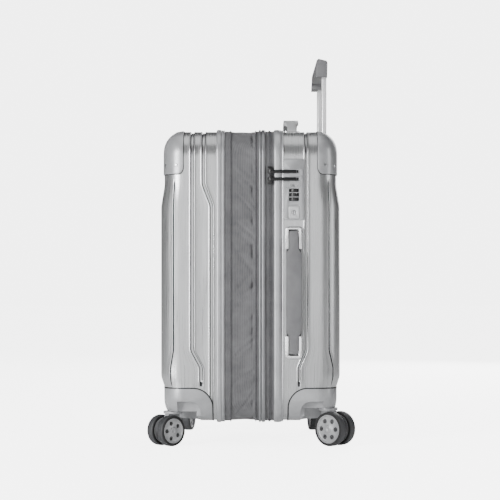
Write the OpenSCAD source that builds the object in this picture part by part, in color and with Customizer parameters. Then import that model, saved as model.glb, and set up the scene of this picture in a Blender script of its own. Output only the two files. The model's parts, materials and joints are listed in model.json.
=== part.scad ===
// Expandable hard shell suitcase on four twin-wheel casters.
// +Z is up, the front shell faces -Y, the lock and the side handle are on +X.
// The origin is on the floor, under the middle of the case.

/* [Case] */
// Width of the two shells
case_w = 370; // [340:1:450]
// Height of the two shells
case_h = 505; // [460:1:610]
// Depth of the front shell, from its raised face to its rim
front_depth = 97; // [90:1:120]
// Depth of the rear shell, from its raised face to its rim
rear_depth = 99; // [92:1:120]
// Height of the shells' lowest edge above the floor
ride_height = 44; // [42:1:46]
// Corner radius of the shells seen from the front
corner_r = 45; // [42:1:56]
// Radius of the edge between a shell's face and its sides
face_r = 35; // [30:1:40]
// Thickness of the moulded shell
shell_wall = 2.4; // [1.5:0.1:3.2]
// How far the raised panel of each face stands proud
belt_rise = 6; // [3:0.5:7]
// Distance from the shell's lowest edge to the foot of the raised panel
belt_start = 59; // [55:1:75]
// Distance from the shell's top to the head of the raised panel
belt_end = 94; // [80:1:110]
// Width of the pressed grooves
groove_w = 5; // [2:0.2:6]
// Depth of the pressed grooves
groove_d = 1.2; // [0.6:0.1:1.8]

/* [Frames and zips] */
// Width of the front shell's rim frame
front_frame_w = 14.5; // [12:0.5:20]
// Width of the rear shell's rim frame
rear_frame_w = 17; // [14:0.5:22]
// Width of the middle frame that carries the lid side of the main zip
middle_frame_w = 12; // [9:0.5:16]
// How far the frames stand out of the shells
frame_out = 4; // [3:0.5:6]
// Width of the whole main zip
main_zip_w = 14; // [12:0.5:18]
// Width of the expansion zip half on the front frame
front_tape_w = 11; // [8:0.5:14]
// Width of the expansion zip half on the middle frame
rear_tape_w = 6; // [5:0.5:9]
// Width of the opened expansion gusset
gusset_w = 42; // [30:1:55]
// Thickness of the zip tapes
tape_t = 1.2; // [0.8:0.1:1.6]
// Thickness of the gusset fabric
gusset_t = 1.5; // [1:0.1:2]
// Thickness of the lining fabric
lining_t = 1; // [0.6:0.1:1.6]

/* [Casters] */
// Radius of the front wheels
front_wheel_r = 27; // [25:0.5:29]
// Radius of the rear wheels
rear_wheel_r = 30; // [28:0.5:31]
// Width of one wheel of a twin
wheel_w = 15.5; // [12:0.5:16]
// Gap between the twins
twin_gap = 11; // [9:0.5:12]
// Thickness of the tyre
tyre_t = 5; // [4:0.5:6]
// Distance from the swivel axis to the wheel axle
trail = 16; // [12:0.5:18]
// Radius of the wheel axle
axle_r = 3; // [2.5:0.1:4]
// Radius of the kingpin
kingpin_r = 4; // [3.5:0.1:5]
// Distance of the swivel axis from the shell's side
swivel_in_x = 42; // [38:1:46]
// Distance of the swivel axis from the raised face
swivel_in_y = 20.5; // [19:0.5:24]

/* [Pull handle] */
// Distance between the two tubes
tube_spacing = 190; // [170:1:200]
// Distance from the raised rear face to the tubes' centre plane
tube_in = 25.5; // [24:0.5:28]
// Width of the fixed tube
tube_w = 26; // [24:0.5:28]
// Depth of the fixed tube
tube_d = 15; // [14.6:0.1:16]
// Wall of the three tubes
tube_wall = 1.1; // [0.9:0.1:1.2]
// Sliding clearance between two tubes
tube_gap = 0.45; // [0.3:0.05:0.5]
// Height of the grip above the shell's top when pulled out as drawn
grip_lift = 101; // [80:1:110]
// Height of the grip
grip_h = 32; // [28:1:34]
// Length of the grip
grip_len = 228; // [215:1:240]

/* [Carry handles] */
// Length of the side handle's base
side_handle_len = 230; // [200:1:240]
// Width of both carry handles' bases
handle_base_w = 31; // [29:0.5:34]
// Height of the side handle's grip above the shell
side_handle_rise = 14.5; // [13:0.5:16]
// Height of the top handle's grip above the shell
top_handle_rise = 34; // [26:1:38]
// Length of the top handle's base
top_handle_len = 200; // [180:1:220]

/* [Lock] */
// Width of the lock
lock_w = 34; // [32:0.5:38]
// Height of the lock
lock_h = 106; // [104:1:120]
// Radius of the number dials
dial_r = 8; // [7:0.1:8.6]
// Distance between two dials
dial_pitch = 7.5; // [7:0.1:8]
// Radius of the key core
key_r = 4; // [3:0.1:5]

/* [Hidden] */
$fn = 48;
run = 0.05;          // running clearance of a pin in its bore
seat = 0.15;         // clearance of a piece laid on a shell
z_low = ride_height;
z_mid = z_low + case_h / 2;
z_top = z_low + case_h;
x_side = case_w / 2;
depth_all = front_depth + front_frame_w + front_tape_w + gusset_w + rear_tape_w + middle_frame_w
    + main_zip_w + rear_frame_w + rear_depth;
y_front = -depth_all / 2;
y_rear = depth_all / 2;
y_front_rim = y_front + front_depth;
y_front_tape = y_front_rim + front_frame_w;
y_gusset = y_front_tape + front_tape_w;
y_rear_tape = y_gusset + gusset_w;
y_middle = y_rear_tape + rear_tape_w;
y_zip = y_middle + middle_frame_w;
y_seam = y_zip + main_zip_w / 2;
y_rear_frame = y_zip + main_zip_w;
y_rear_rim = y_rear_frame + rear_frame_w;
lip_t = 2;           // thickness of the frame's lip over the shell edge
tuck_front = front_frame_w - lip_t - seat;
tuck_rear = rear_frame_w - lip_t - seat;
swivel_x = x_side - swivel_in_x;
swivel_front_y = y_front + swivel_in_y;
swivel_rear_y = y_rear - swivel_in_y;
twin_w = 2 * wheel_w + twin_gap;
swing_r = sqrt(pow(trail + rear_wheel_r, 2) + pow(twin_w / 2, 2));
well_r = swing_r - 1.5;
housing_h = 57;      // height of a wheel housing
housing_in = 90;     // how far a housing reaches along the side
housing_arch = 33;   // radius of a housing's inner upper corner
housing_x = x_side - swivel_x + well_r + 4;
plate_t = 4.5;       // thickness of the fork's swivel plate
gap_wheel = 1.5;     // between the wheel's top and the swivel plate
gap_plate = 1;       // between the swivel plate and the well's ceiling
gasket_w = 2.2;
guard_t = 1.8;
guard_h = 76;
guard_y = 33.5;      // how far a corner guard reaches along the side
guard_x = 64;        // how far a corner guard reaches along the top
rivet_r = 3;
rivet_l = 4.4;       // length of a rivet's shank
rivet_turns = [22, 58];   // where the rivets sit round the edge, in degrees
rivet_up = 15;       // height of the side rivets above a guard's lower edge
rivet_in = 10;       // distance of the top rivet from a guard's inner edge
foot_out = 9;        // height of the side feet
foot_r = 11;
hinge_out = 11;      // the fabric hinge's fold line, measured from the shell's side
front_yaw = [-47, 168];   // rest yaw of the right and left front casters
rear_yaw = [49, 186];     // rest yaw of the right and left rear casters
tube_y = y_rear - tube_in;
mid_w = tube_w - 2 * tube_wall - 2 * tube_gap;
mid_d = tube_d - 2 * tube_wall - 2 * tube_gap;
in_w = mid_w - 2 * tube_wall - 2 * tube_gap;
in_d = mid_d - 2 * tube_wall - 2 * tube_gap;
grip_w = 23;         // depth of the grip at its top
grip_bottom = z_top + grip_lift;
grip_top = grip_bottom + grip_h;
bezel_floor = z_top - grip_h - 1;
tube_low = z_low + housing_h + 5;
grip_travel_in = grip_bottom - bezel_floor - 3.5;
lock_y = y_rear_rim + 1 + lock_w / 2;
lock_top = z_top - 50;
lock_low = lock_top - lock_h;
lock_out = frame_out;
lock_in = 14;
lock_face = x_side + lock_out;
dial_x = lock_face - 7;
dial_z = lock_top - 55;      // centre of the upper dial
dial_h = 5.6;
dial_bore = 1.5;
button_w = 19;
button_h = 22;
button_z = lock_low + 13;
pull_z = [lock_top - 22.5, lock_top - 35.5];
pull_reach = 44;             // from the slider's bail to the pull's end
handle_y = lock_y - 0.5;
side_handle_z = z_low + 223.5;
top_handle_y = y_rear - 82.5;
handle_t = 5;                // thickness of a grip's band
handle_low = 2.2;            // of a grip's ends above the shell
leg_in = 15;                 // from a base's end to the middle of a grip's leg
hub_cover = 3;               // left closed at the outer end of a hub's bore
inner_tube_low = tube_low + 8 + grip_travel_in;

// ---------- shared shapes ----------

// A quarter disc, its straight sides on the axes.
module quarter(r) {
    intersection() {
        circle(r);
        square(r);
    }
}

// A rounded rectangle centred on the origin.
module rounded(w, h, r) {
    square([w - 2 * r, h], center = true);
    for (s = [0, 1]) mirror([s, 0]) {
        translate([w / 2 - r, r - h / 2]) square([r, h - 2 * r]);
        for (t = [0, 1]) mirror([0, t]) translate([w / 2 - r, h / 2 - r]) quarter(r);
    }
}

// The case's outline from the front, grown by g.
module outline(g) {
    rounded(case_w + 2 * g, case_h + 2 * g, corner_r + g);
}

// Stands a flat drawing of the front view upright, its thickness from y0 to y1.
module upright(y0, y1) {
    translate([0, y1, z_mid]) rotate([90, 0, 0]) linear_extrude(y1 - y0) children();
}

// A band round the whole case, from y0 to y1, its outside at g and its wall t.
module band(y0, y1, g, t) {
    upright(y0, y1) difference() {
        outline(g);
        outline(g - t);
    }
}

// Half of a tray's section, from its corner's centre outwards.
module tray_profile(depth, rc, rf) {
    square([rc - rf, depth]);
    translate([rc - rf, 0]) square([rf, depth - rf]);
    translate([rc - rf, depth - rf]) quarter(rf);
}

// A solid tray with its rim on z = 0 and its face at z = depth.
module tray(w, h, depth, rc, rf) {
    x = w / 2 - rc;
    y = h / 2 - rc;
    translate([-x, -y, 0]) cube([2 * x, 2 * y, depth]);
    for (s = [0, 1]) mirror([s, 0, 0])
        translate([x, y, 0]) rotate([90, 0, 0]) linear_extrude(2 * y) tray_profile(depth, rc, rf);
    for (s = [0, 1]) mirror([0, s, 0])
        translate([-x, y, 0]) rotate([90, 0, 90]) linear_extrude(2 * x) tray_profile(depth, rc, rf);
    for (s = [0, 1], t = [0, 1]) mirror([s, 0, 0]) mirror([0, t, 0])
        translate([x, y, 0]) rotate_extrude(angle = 90) tray_profile(depth, rc, rf);
}

// The raised panel across a face, with sloping ends.
module belt(depth, g) {
    w = case_w + 2 * g;
    rf = face_r + g;
    full = depth + belt_rise + g;
    low = -case_h / 2 + belt_start;
    high = case_h / 2 - belt_end;
    intersection() {
        translate([0, high, 0]) rotate([90, 0, 0]) linear_extrude(high - low) {
            translate([-w / 2, 0]) square([w, full - rf]);
            translate([rf - w / 2, 0]) square([w - 2 * rf, full]);
            for (s = [0, 1]) mirror([s, 0]) translate([w / 2 - rf, full - rf]) quarter(rf);
        }
        translate([-w, 0, 0]) rotate([90, 0, 90]) linear_extrude(2 * w) polygon([[low, 1],
            [low, depth + g], [low + 18, full], [high - 37, full], [high, depth + g], [high, 1]]);
    }
}

// The outer form of a half case, its rim at z = 0, grown by g; the cavity has g below 0.
module half_form(depth, g) {
    tray(case_w + 2 * g, case_h + 2 * g, depth - belt_rise + g, corner_r + g, face_r + g);
    belt(depth - belt_rise, g);
}

// Puts a half form in place: side -1 is the front, 1 the rear.
module place_half(side) {
    if (side < 0) translate([0, y_front_rim + tuck_front, z_mid]) rotate([90, 0, 0]) children();
    else translate([0, y_rear_rim - tuck_rear, z_mid]) mirror([0, 1, 0]) rotate([90, 0, 0]) children();
}
function half_depth(side) = side < 0 ? front_depth + tuck_front : rear_depth + tuck_rear;
module form(side, g) { place_half(side) half_form(half_depth(side), g); }

// The same drawing at the right and at the left of the case.
module both_sides() { for (s = [0, 1]) mirror([s, 0, 0]) children(); }

// A drawing in y and z, given its thickness along x from x0 to x1.
module across(x0, x1) {
    translate([x0, 0, 0]) rotate([90, 0, 90]) linear_extrude(x1 - x0) children();
}
function face_y(side) = side < 0 ? y_front : y_rear;

// ---------- shells ----------

// The region of a wheel housing at the right of one half, grown by g.
module housing_region(side, g) {
    top = z_low + housing_h + g;
    reach = housing_in + g;
    a = housing_arch + g;
    x0 = x_side - housing_x - g;
    y1 = face_y(side) - side * reach;
    intersection() {
        across(x0, x_side + 20) translate([y1, 0]) scale([side, 1]) {
            square([reach + 20, top - a]);
            translate([a, top - a]) square([reach + 20 - a, a]);
            translate([a, top - a]) mirror([1, 0]) quarter(a);
        }
        translate([0, -400, 0]) rotate([-90, 0, 0]) mirror([0, 1, 0]) linear_extrude(800)
            translate([x0, 0]) {
                square([housing_x + 20 + g, top - a]);
                translate([a, top - a]) square([housing_x + 20 + g - a, a]);
                translate([a, top - a]) mirror([1, 0]) quarter(a);
            }
    }
}

// One pressed groove on the right side face, from point to point in y and z.
module side_groove(points) {
    for (i = [1 : len(points) - 1]) {
        a = points[i - 1];
        b = points[i];
        run_len = norm(b - a);
        translate([x_side - groove_d, a[0], a[1]]) rotate([atan2(b[1] - a[1], b[0] - a[0]), 0, 0])
            translate([0, 0, -groove_w / 2]) cube([groove_d + 5, run_len, groove_w]);
    }
}

// A groove over the top and round the upper corners, at y.
module top_groove(y) {
    intersection() {
        upright(y - groove_w / 2, y + groove_w / 2) difference() {
            outline(5);
            outline(-groove_d);
        }
        translate([-case_w, y - groove_w, z_top - corner_r]) cube([2 * case_w, 2 * groove_w, 100]);
    }
}

// The kinks of the two long grooves, as heights.
kink_high = [z_top - belt_end, z_top - belt_end - 37];
kink_low = [z_low + 123, z_low + 94];
groove_end = z_low + 63;
front_groove_a = [[y_front + 55.5, z_top - corner_r + 1], [y_front + 55.5, kink_low[0]],
    [y_front + 71, kink_low[1]], [y_front + 71, groove_end]];
front_groove_b = [[y_front + 75, z_top - corner_r + 1], [y_front + 75, kink_high[0]],
    [y_front + 89, kink_high[1]], [y_front + 89, z_low + 20]];
rear_groove_a = [[y_rear - 60, z_top - corner_r + 1], [y_rear - 60, kink_low[0]],
    [y_rear - 72, kink_low[1]], [y_rear - 72, groove_end]];
rear_groove_b = [[y_rear - 20, z_top - guard_h - 12], [y_rear - 20, kink_low[0]],
    [y_rear - 10, kink_low[1]], [y_rear - 10, groove_end]];

module shell(side) {
    difference() {
        form(side, 0);
        place_half(side) {
            half_form(half_depth(side), -shell_wall);
            linear_extrude(2, center = true) outline(-shell_wall);
        }
        both_sides() housing_region(side, gasket_w + seat);
        rivet_holes(side);
    }
}

module front_shell() {
    color("silver") difference() {
        shell(-1);
        both_sides() {
            side_groove(front_groove_a);
            side_groove(front_groove_b);
        }
        top_groove(front_groove_a[0][0]);
        top_groove(front_groove_b[0][0]);
    }
}

module rear_shell() {
    color("silver") difference() {
        shell(1);
        both_sides() {
            side_groove(rear_groove_a);
            side_groove(rear_groove_b);
        }
        top_groove(rear_groove_a[0][0]);
        translate([x_side - lock_in - seat, 0, 0]) lock_block(seat);
        on_side() handle_dish(side_handle_len, seat);
        on_top() handle_dish(top_handle_len, seat);
        bezel_block(seat);
    }
}

// ---------- frames, zips and gusset ----------

// A frame ring with a lip that covers the shell's edge, from y0 to y1; the lip is at y1 on the front one.
module rim_frame(y0, y1, lip_at) {
    difference() {
        band(y0, y1, frame_out, frame_out - seat);
        for (f = [0.62, 0.8]) band_groove(y0 + (lip_at < y1 ? 1 - f : f) * (y1 - y0));
    }
    band(lip_at, lip_at + lip_t, frame_out, frame_out + shell_wall + 1.6);
}

// A fine groove round a frame, at y.
module band_groove(y) {
    band(y - 0.5, y + 0.5, frame_out + 1, 1.8);
}

module front_rim_frame() {
    color("gainsboro") rim_frame(y_front_rim, y_front_tape, y_front_tape - lip_t);
}
module rear_rim_frame() {
    color("gainsboro") rim_frame(y_rear_frame, y_rear_rim, y_rear_frame);
}
module middle_frame() {
    color("gainsboro") difference() {
        band(y_middle, y_zip, frame_out, frame_out + 2);
        band_groove((y_middle + y_zip) / 2);
    }
}
module zip_tape(y0, y1, tooth_y) {
    band(y0, y1, tape_t, tape_t);
    band(tooth_y - 0.9, tooth_y + 0.9, tape_t + 1.2, tape_t + 1.2);
}
module main_zip_rear_tape() {
    color("dimgray") zip_tape(y_seam + 0.1, y_rear_frame, y_seam + 1);
}
module main_zip_front_tape() {
    color("dimgray") zip_tape(y_zip, y_seam - 0.1, y_seam - 1);
}
module expansion_zip_rear_tape() {
    color("gray") zip_tape(y_rear_tape, y_middle, y_rear_tape + 0.9);
}
module expansion_zip_front_tape() {
    color("gray") zip_tape(y_front_tape, y_gusset, y_gusset - 0.9);
}
module expansion_gusset() {
    color("gray") band(y_gusset, y_rear_tape - 0.3, 0.6, gusset_t);
}

// The fabric hinge along the left side, on the inside of the frames.
module hinge_fabric() {
    color("dimgray") translate([-x_side + 2.3, y_middle + 1, z_low + corner_r + 10])
        cube([1.2, y_seam - y_middle - 1.5, case_h - 2 * corner_r - 20]);
}

// ---------- corners ----------

// The region of a corner guard at the right of one half.
module guard_region(side) {
    y1 = face_y(side) - side * (guard_y + belt_rise);
    r = 12;
    intersection() {
        across(0, x_side + 20) translate([y1, z_top + 20]) scale([side, -1]) {
            square([guard_y + 30, guard_h + 20 - r]);
            translate([r, guard_h + 20 - r]) square([guard_y + 30 - r, r]);
            translate([r, guard_h + 20 - r]) mirror([1, 0]) quarter(r);
        }
        translate([x_side - guard_x, -400, z_top - guard_h]) cube([guard_x + 20, 800, guard_h + 20]);
    }
}

module corner_guards(side) {
    color("darkgray") both_sides() intersection() {
        difference() {
            form_plain(side, guard_t);
            form_plain(side, seat);
            rivet_holes(side);
        }
        guard_region(side);
    }
}
// A half form without its raised panel, which never reaches the guards.
module form_plain(side, g) {
    d = half_depth(side) - belt_rise + g;
    place_half(side) tray(case_w + 2 * g, case_h + 2 * g, d, corner_r + g, face_r + g);
}

// A domed rivet at the origin, its head towards +x.
module rivet() {
    rotate([0, 90, 0]) {
        translate([0, 0, -rivet_l]) cylinder(r = rivet_r / 2, h = rivet_l + 0.2);
        rotate_extrude() difference() {
            translate([0, 0.05]) quarter(rivet_r);
            translate([-1, 1.5]) square([rivet_r + 2, rivet_r]);
        }
    }
}

// Puts a piece at each rivet of a half's guards, its +x pointing out of the guard.
module at_rivets(side) {
    y_c = face_y(side) - side * (belt_rise + face_r);
    skin = face_r + guard_t;
    both_sides() {
        for (a = rivet_turns) translate([x_side - face_r, y_c, z_top - guard_h + rivet_up])
            rotate([0, 0, side * a]) translate([skin, 0, 0]) children();
        translate([x_side - guard_x + rivet_in, y_c, z_top - face_r]) rotate([-side * rivet_turns[0], 0, 0])
            translate([0, 0, skin]) rotate([0, -90, 0]) children();
    }
}
module rivet_holes(side) {
    at_rivets(side) rotate([0, 90, 0]) translate([0, 0, -rivet_l - 1])
        cylinder(r = rivet_r / 2 + run, h = rivet_l + 3);
}
module guard_rivets(side) {
    color("gainsboro") at_rivets(side) rivet();
}

// Height of the underside of a housing above its wheels.
function ceiling(r) = 2 * r + gap_wheel + plate_t + gap_plate;

module wheel_housings(side, wheel_r) {
    y_s = side < 0 ? swivel_front_y : swivel_rear_y;
    roof = ceiling(wheel_r);
    inner = 3;
    color("gray") both_sides() difference() {
        intersection() {
            form_plain(side, 0.6);
            housing_region(side, 0);
        }
        translate([swivel_x, y_s, 0]) cylinder(r = well_r, h = roof);
        // the scoop beside the wheel
        across(x_side - 17, x_side + 20) translate([y_s - side * 20, z_low + 17]) scale([-side, 1]) {
            translate([-11, -20]) square([22, 38]);
            translate([11, 0]) circle(r = 18);
            translate([11, -20]) square([18, 20]);
        }
        // the hollow above, open to the inside of the case
        difference() {
            intersection() {
                form_plain(side, -inner);
                translate([0, side < 0 ? -400 : 0, roof + inner]) cube([x_side - 20, 400, 200]);
            }
            translate([swivel_x, y_s, 0]) cylinder(r = 14, h = 200);
        }
        translate([swivel_x, y_s, 0]) cylinder(r = kingpin_r + run, h = 300);
    }
}

// The rubber piping between a housing and its shell.
module housing_gaskets(side) {
    color("black") both_sides() intersection() {
        difference() {
            form_plain(side, 1.2);
            form_plain(side, -shell_wall - 0.6);
        }
        difference() {
            housing_region(side, gasket_w);
            housing_region(side, seat);
        }
    }
}

module side_feet(side) {
    y = side < 0 ? y_front + 72 : y_rear - 40;
    color("dimgray") for (z = [z_low + 150, z_top - 150]) translate([-x_side - seat, y, z]) rotate([0, -90, 0]) {
        cylinder(r = foot_r, h = foot_out - 2);
        cylinder(r1 = foot_r, r2 = foot_r - 2, h = foot_out - seat);
    }
}

// ---------- linings and straps ----------

// Everything that stands into the rear half from its shell, grown by g.
module rear_keepouts(g) {
    both_sides() {
        translate([tube_spacing / 2 - tube_w / 2 - 5 - g, tube_y - tube_d / 2 - 4 - g, 0])
            cube([tube_w + 10 + 2 * g, 100, z_top]);
        translate([x_side - housing_x - 6 - g, y_rear - housing_in - 6 - g, 0])
            cube([200, 200, z_low + housing_h + 6 + g]);
    }
    translate([-grip_len / 2 - 9 - g, tube_y - 26 - g, z_top - grip_h - 12 - g])
        cube([grip_len + 18 + 2 * g, 100, 100]);
    translate([x_side - 33 - g, y_rear_rim - 4 - g, side_handle_z - side_handle_len / 2 - 5 - g])
        cube([100, lock_w + 8 + 2 * g, lock_top - side_handle_z + side_handle_len / 2 + 12 + 2 * g]);
    translate([-top_handle_len / 2 - 5 - g, top_handle_y - handle_base_w / 2 - 4 - g, z_top - 33 - g])
        cube([top_handle_len + 10 + 2 * g, handle_base_w + 8 + 2 * g, 100]);
}
module front_keepouts(g) {
    both_sides() translate([x_side - housing_x - 6 - g, y_front - 100, 0])
        cube([200, housing_in + 106 + g, z_low + housing_h + 6 + g]);
}

module rear_lining() {
    outer = -shell_wall - 0.8;
    color("slategray") difference() {
        difference() {
            form_plain(1, outer);
            rear_keepouts(0);
        }
        difference() {
            form_plain(1, outer - lining_t);
            rear_keepouts(lining_t);
        }
        upright(y_rear_rim - tuck_rear - 1, y_rear_rim - tuck_rear + 6) square(2000, center = true);
    }
}
module front_lining() {
    outer = -shell_wall - 0.8;
    color("slategray") difference() {
        difference() {
            form_plain(-1, outer);
            front_keepouts(0);
        }
        difference() {
            form_plain(-1, outer - lining_t);
            front_keepouts(lining_t);
        }
        upright(y_front_rim + tuck_front - 6, y_front_rim + tuck_front + 1) square(2000, center = true);
    }
}

strap_y = y_rear - housing_in - 6 - lining_t - 2;
strap_w = 25;
strap_angle = atan((case_h / 2 - corner_r - 16) / x_side);
strap_mid = z_mid - 20;
// Four elastic straps from the buckle to the lining: 147 mm across to the right, 178 mm to the left.
module packing_straps() {
    color("dimgray") for (t = [0, 1], reach = [x_side - 34.6, 5 - x_side]) translate([0, strap_y, strap_mid])
        mirror([0, 0, t]) rotate([0, reach > 0 ? -strap_angle : strap_angle, 0]) {
            to = abs(reach) / cos(strap_angle) - strap_w / 2 * tan(strap_angle);
            translate([reach > 0 ? 24 : -to, 0, -strap_w / 2]) cube([to - 24, 1.5, strap_w]);
        }
}
module strap_buckle() {
    color("black") translate([0, strap_y + 0.7, strap_mid]) rotate([90, 0, 0]) difference() {
        linear_extrude(7, center = true) rounded(64, 46, 8);
        for (s = [0, 1], t = [0, 1]) mirror([s, 0, 0]) mirror([0, t, 0])
            rotate([0, 0, strap_angle]) translate([23.8, -strap_w / 2 - 0.2, -1])
                cube([60, strap_w + 0.4, 2]);
    }
}

// ---------- pull handle ----------

module tube_pair(w, d, wall, z0, z1) {
    both_sides() translate([tube_spacing / 2, tube_y, z0]) linear_extrude(z1 - z0) difference() {
        rounded(w, d, d * 0.3);
        rounded(w - 2 * wall, d - 2 * wall, d * 0.3 - wall);
    }
}

module trolley_outer_tubes() {
    color("silver") tube_pair(tube_w, tube_d, tube_wall, tube_low, bezel_floor - 4);
}
module trolley_middle_tubes() {
    color("silver") tube_pair(mid_w, mid_d, tube_wall, tube_low + 5, bezel_floor + 0.5);
}
module trolley_inner_tubes() {
    color("gainsboro") tube_pair(in_w, in_d, tube_wall, inner_tube_low, grip_bottom + 6);
}

// Plastic collars on the middle tubes' upper ends.
module trolley_middle_collars() {
    color("black") both_sides() translate([tube_spacing / 2, tube_y, bezel_floor + 0.5]) linear_extrude(3)
        difference() {
            rounded(mid_w, mid_d, mid_d * 0.3);
            rounded(in_w + 2 * tube_gap, in_d + 2 * tube_gap, in_d * 0.3);
        }
}

// The cup in the top of the rear shell that the grip sinks into.
module bezel_block(g) {
    translate([-grip_len / 2 - 6 - g, tube_y - grip_w + 3 - g, bezel_floor - 4 - g])
        cube([grip_len + 12 + 2 * g, grip_w + 9 + 2 * g, 60]);
}
module trolley_bezel() {
    color("dimgray") difference() {
        intersection() {
            bezel_block(0);
            form_plain(1, 1);
        }
        translate([-grip_len / 2 - 2.5, tube_y - grip_w + 6, bezel_floor])
            cube([grip_len + 5, grip_w + 4, 60]);
        both_sides() translate([tube_spacing / 2, tube_y, bezel_floor - 20]) linear_extrude(60)
            rounded(mid_w + 2 * tube_gap, mid_d + 2 * tube_gap, mid_d * 0.3);
    }
}

// The two feet that tie the fixed tubes' lower ends to the shell's back.
module trolley_bracket() {
    color("black") both_sides() translate([tube_spacing / 2, tube_y, tube_low]) {
        translate([-tube_w / 2 - 4, -tube_d / 2 - 1, -3.5])
            cube([tube_w + 8, tube_in + tube_d / 2 - belt_rise - shell_wall, 3.4]);
        translate([0, 0, -1]) linear_extrude(4)
            rounded(tube_w - 2 * tube_wall - 0.4, tube_d - 2 * tube_wall - 0.4, tube_d * 0.3 - tube_wall);
    }
}

// The grip's end view, in y and z.
module grip_profile() {
    translate([tube_y, grip_top]) polygon([[-13.5, -3], [-10.5, 0], [4, -3.5], [6, -7],
        [in_d / 2 + 1, -grip_h], [-15, -grip_h]]);
}
module trolley_grip() {
    color("gray") difference() {
        across(-grip_len / 2, grip_len / 2) grip_profile();
        // the hand opening under the bar
        translate([-tube_spacing / 2 + 22, tube_y - 40, grip_bottom - 10])
            cube([tube_spacing - 44, 80, 18]);
        // the hollow that holds the button's bar
        translate([-tube_spacing / 2 - 8, tube_y - 7, grip_bottom + 10])
            cube([tube_spacing + 16, 11, 12]);
        translate([-22 - 0.3, tube_y - 6.3, grip_bottom + 10]) cube([44.6, 9.6, 40]);
        both_sides() translate([tube_spacing / 2, tube_y, grip_bottom - 1]) {
            linear_extrude(7.1) rounded(in_w + 0.1, in_d + 0.1, in_d * 0.3);
            cylinder(r = 2.6, h = 15);
        }
    }
}
module trolley_button() {
    color("black") {
        translate([-22, tube_y - 6, grip_bottom + 14]) cube([44, 9, grip_top - grip_bottom - 14 - 0.5]);
        translate([-tube_spacing / 2 - 6, tube_y - 4, grip_bottom + 15.5]) cube([tube_spacing + 12, 6, 4.5]);
    }
}
module trolley_push_rods() {
    color("silver") both_sides() translate([tube_spacing / 2, tube_y, grip_bottom - 330])
        cylinder(r = 2, h = 330 + 15.4);
}

// ---------- carry handles ----------

// Puts a handle, drawn with its length along z and its grip towards +x, on the side and on the top.
module on_side() { translate([x_side, handle_y, side_handle_z]) children(); }
module on_top() { translate([0, top_handle_y, z_top]) rotate([0, -90, 0]) children(); }

// A plate across x, from x0 to x1.
module plate(x0, x1, w, len, r) {
    translate([x0, 0, 0]) rotate([90, 0, 90]) linear_extrude(x1 - x0) rounded(w, len, r);
}

// The dish under a grip, which goes through the shell, grown by g.
module handle_dish(len, g) { plate(-7 - g, seat + 3 * g, handle_base_w - 4 + 2 * g, len - 8 + 2 * g, 6 + g); }

// One base: a flange on the shell, the dish, and a socket behind it for each leg.
module handle_base(len) {
    leg_z = len / 2 - leg_in;
    difference() {
        union() {
            plate(seat, seat + 1.6, handle_base_w, len, 7);
            handle_dish(len, 0);
            for (s = [-1, 1]) translate([-26, -8, s * leg_z - 6]) cube([20, 16, 12]);
        }
        plate(-5, 5, handle_base_w - 7, len - 11, 5);
        for (s = [-1, 1]) translate([-24, -6.3, s * leg_z - 4.3]) cube([60, 12.6, 8.6]);
    }
}
module handle_bases() {
    color("gray") {
        on_side() handle_base(side_handle_len);
        on_top() handle_base(top_handle_len);
    }
}

// The bright U-shaped caps at the ends of a base.
module handle_caps(len) {
    w = handle_base_w - 2;
    for (s = [0, 1]) mirror([0, 0, s]) translate([seat + 1.6 + seat, 0, len / 2 - 40])
        rotate([90, 0, 90]) linear_extrude(4) difference() {
            union() {
                translate([-w / 2, 0]) square([w, 33]);
                translate([6 - w / 2, 33]) square([w - 12, 6]);
                for (t = [0, 1]) mirror([t, 0]) translate([w / 2 - 6, 33]) quarter(6);
            }
            translate([-8.3, -1]) square([16.6, 35]);
        }
}
module handle_end_caps() {
    color("white") {
        on_side() handle_caps(side_handle_len);
        on_top() handle_caps(top_handle_len);
    }
}

// A grip: an arched band, narrow at its ends, with a leg into each socket.
module handle_grip(len, rise) {
    leg_z = len / 2 - leg_in;
    half = leg_z + 6;
    sag = rise - handle_low - handle_t;
    big = (half * half + sag * sag) / (2 * sag);
    wide = (handle_base_w - 5) / 2;
    narrow = 7.8;
    intersection() {
        translate([rise - big, 0, 0]) rotate([90, 0, 0]) difference() {
            cylinder(r = big, h = handle_base_w, center = true);
            cylinder(r = big - handle_t, h = handle_base_w + 2, center = true);
        }
        rotate([90, 0, 90]) linear_extrude(rise + 2) for (t = [0, 1]) mirror([0, t])
            polygon([[-wide, 0], [-wide, half - 38], [-narrow, half - 30], [-narrow, half], [narrow, half],
                [narrow, half - 30], [wide, half - 38], [wide, 0]]);
    }
    for (s = [-1, 1]) translate([-21, -6, s * leg_z - 4]) cube([21 + handle_low + 1.5, 12, 8]);
}
module side_handle_grip() { color("gray") on_side() handle_grip(side_handle_len, side_handle_rise); }
module top_handle_grip() { color("gray") on_top() handle_grip(top_handle_len, top_handle_rise); }

// ---------- lock and zip pulls ----------

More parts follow.
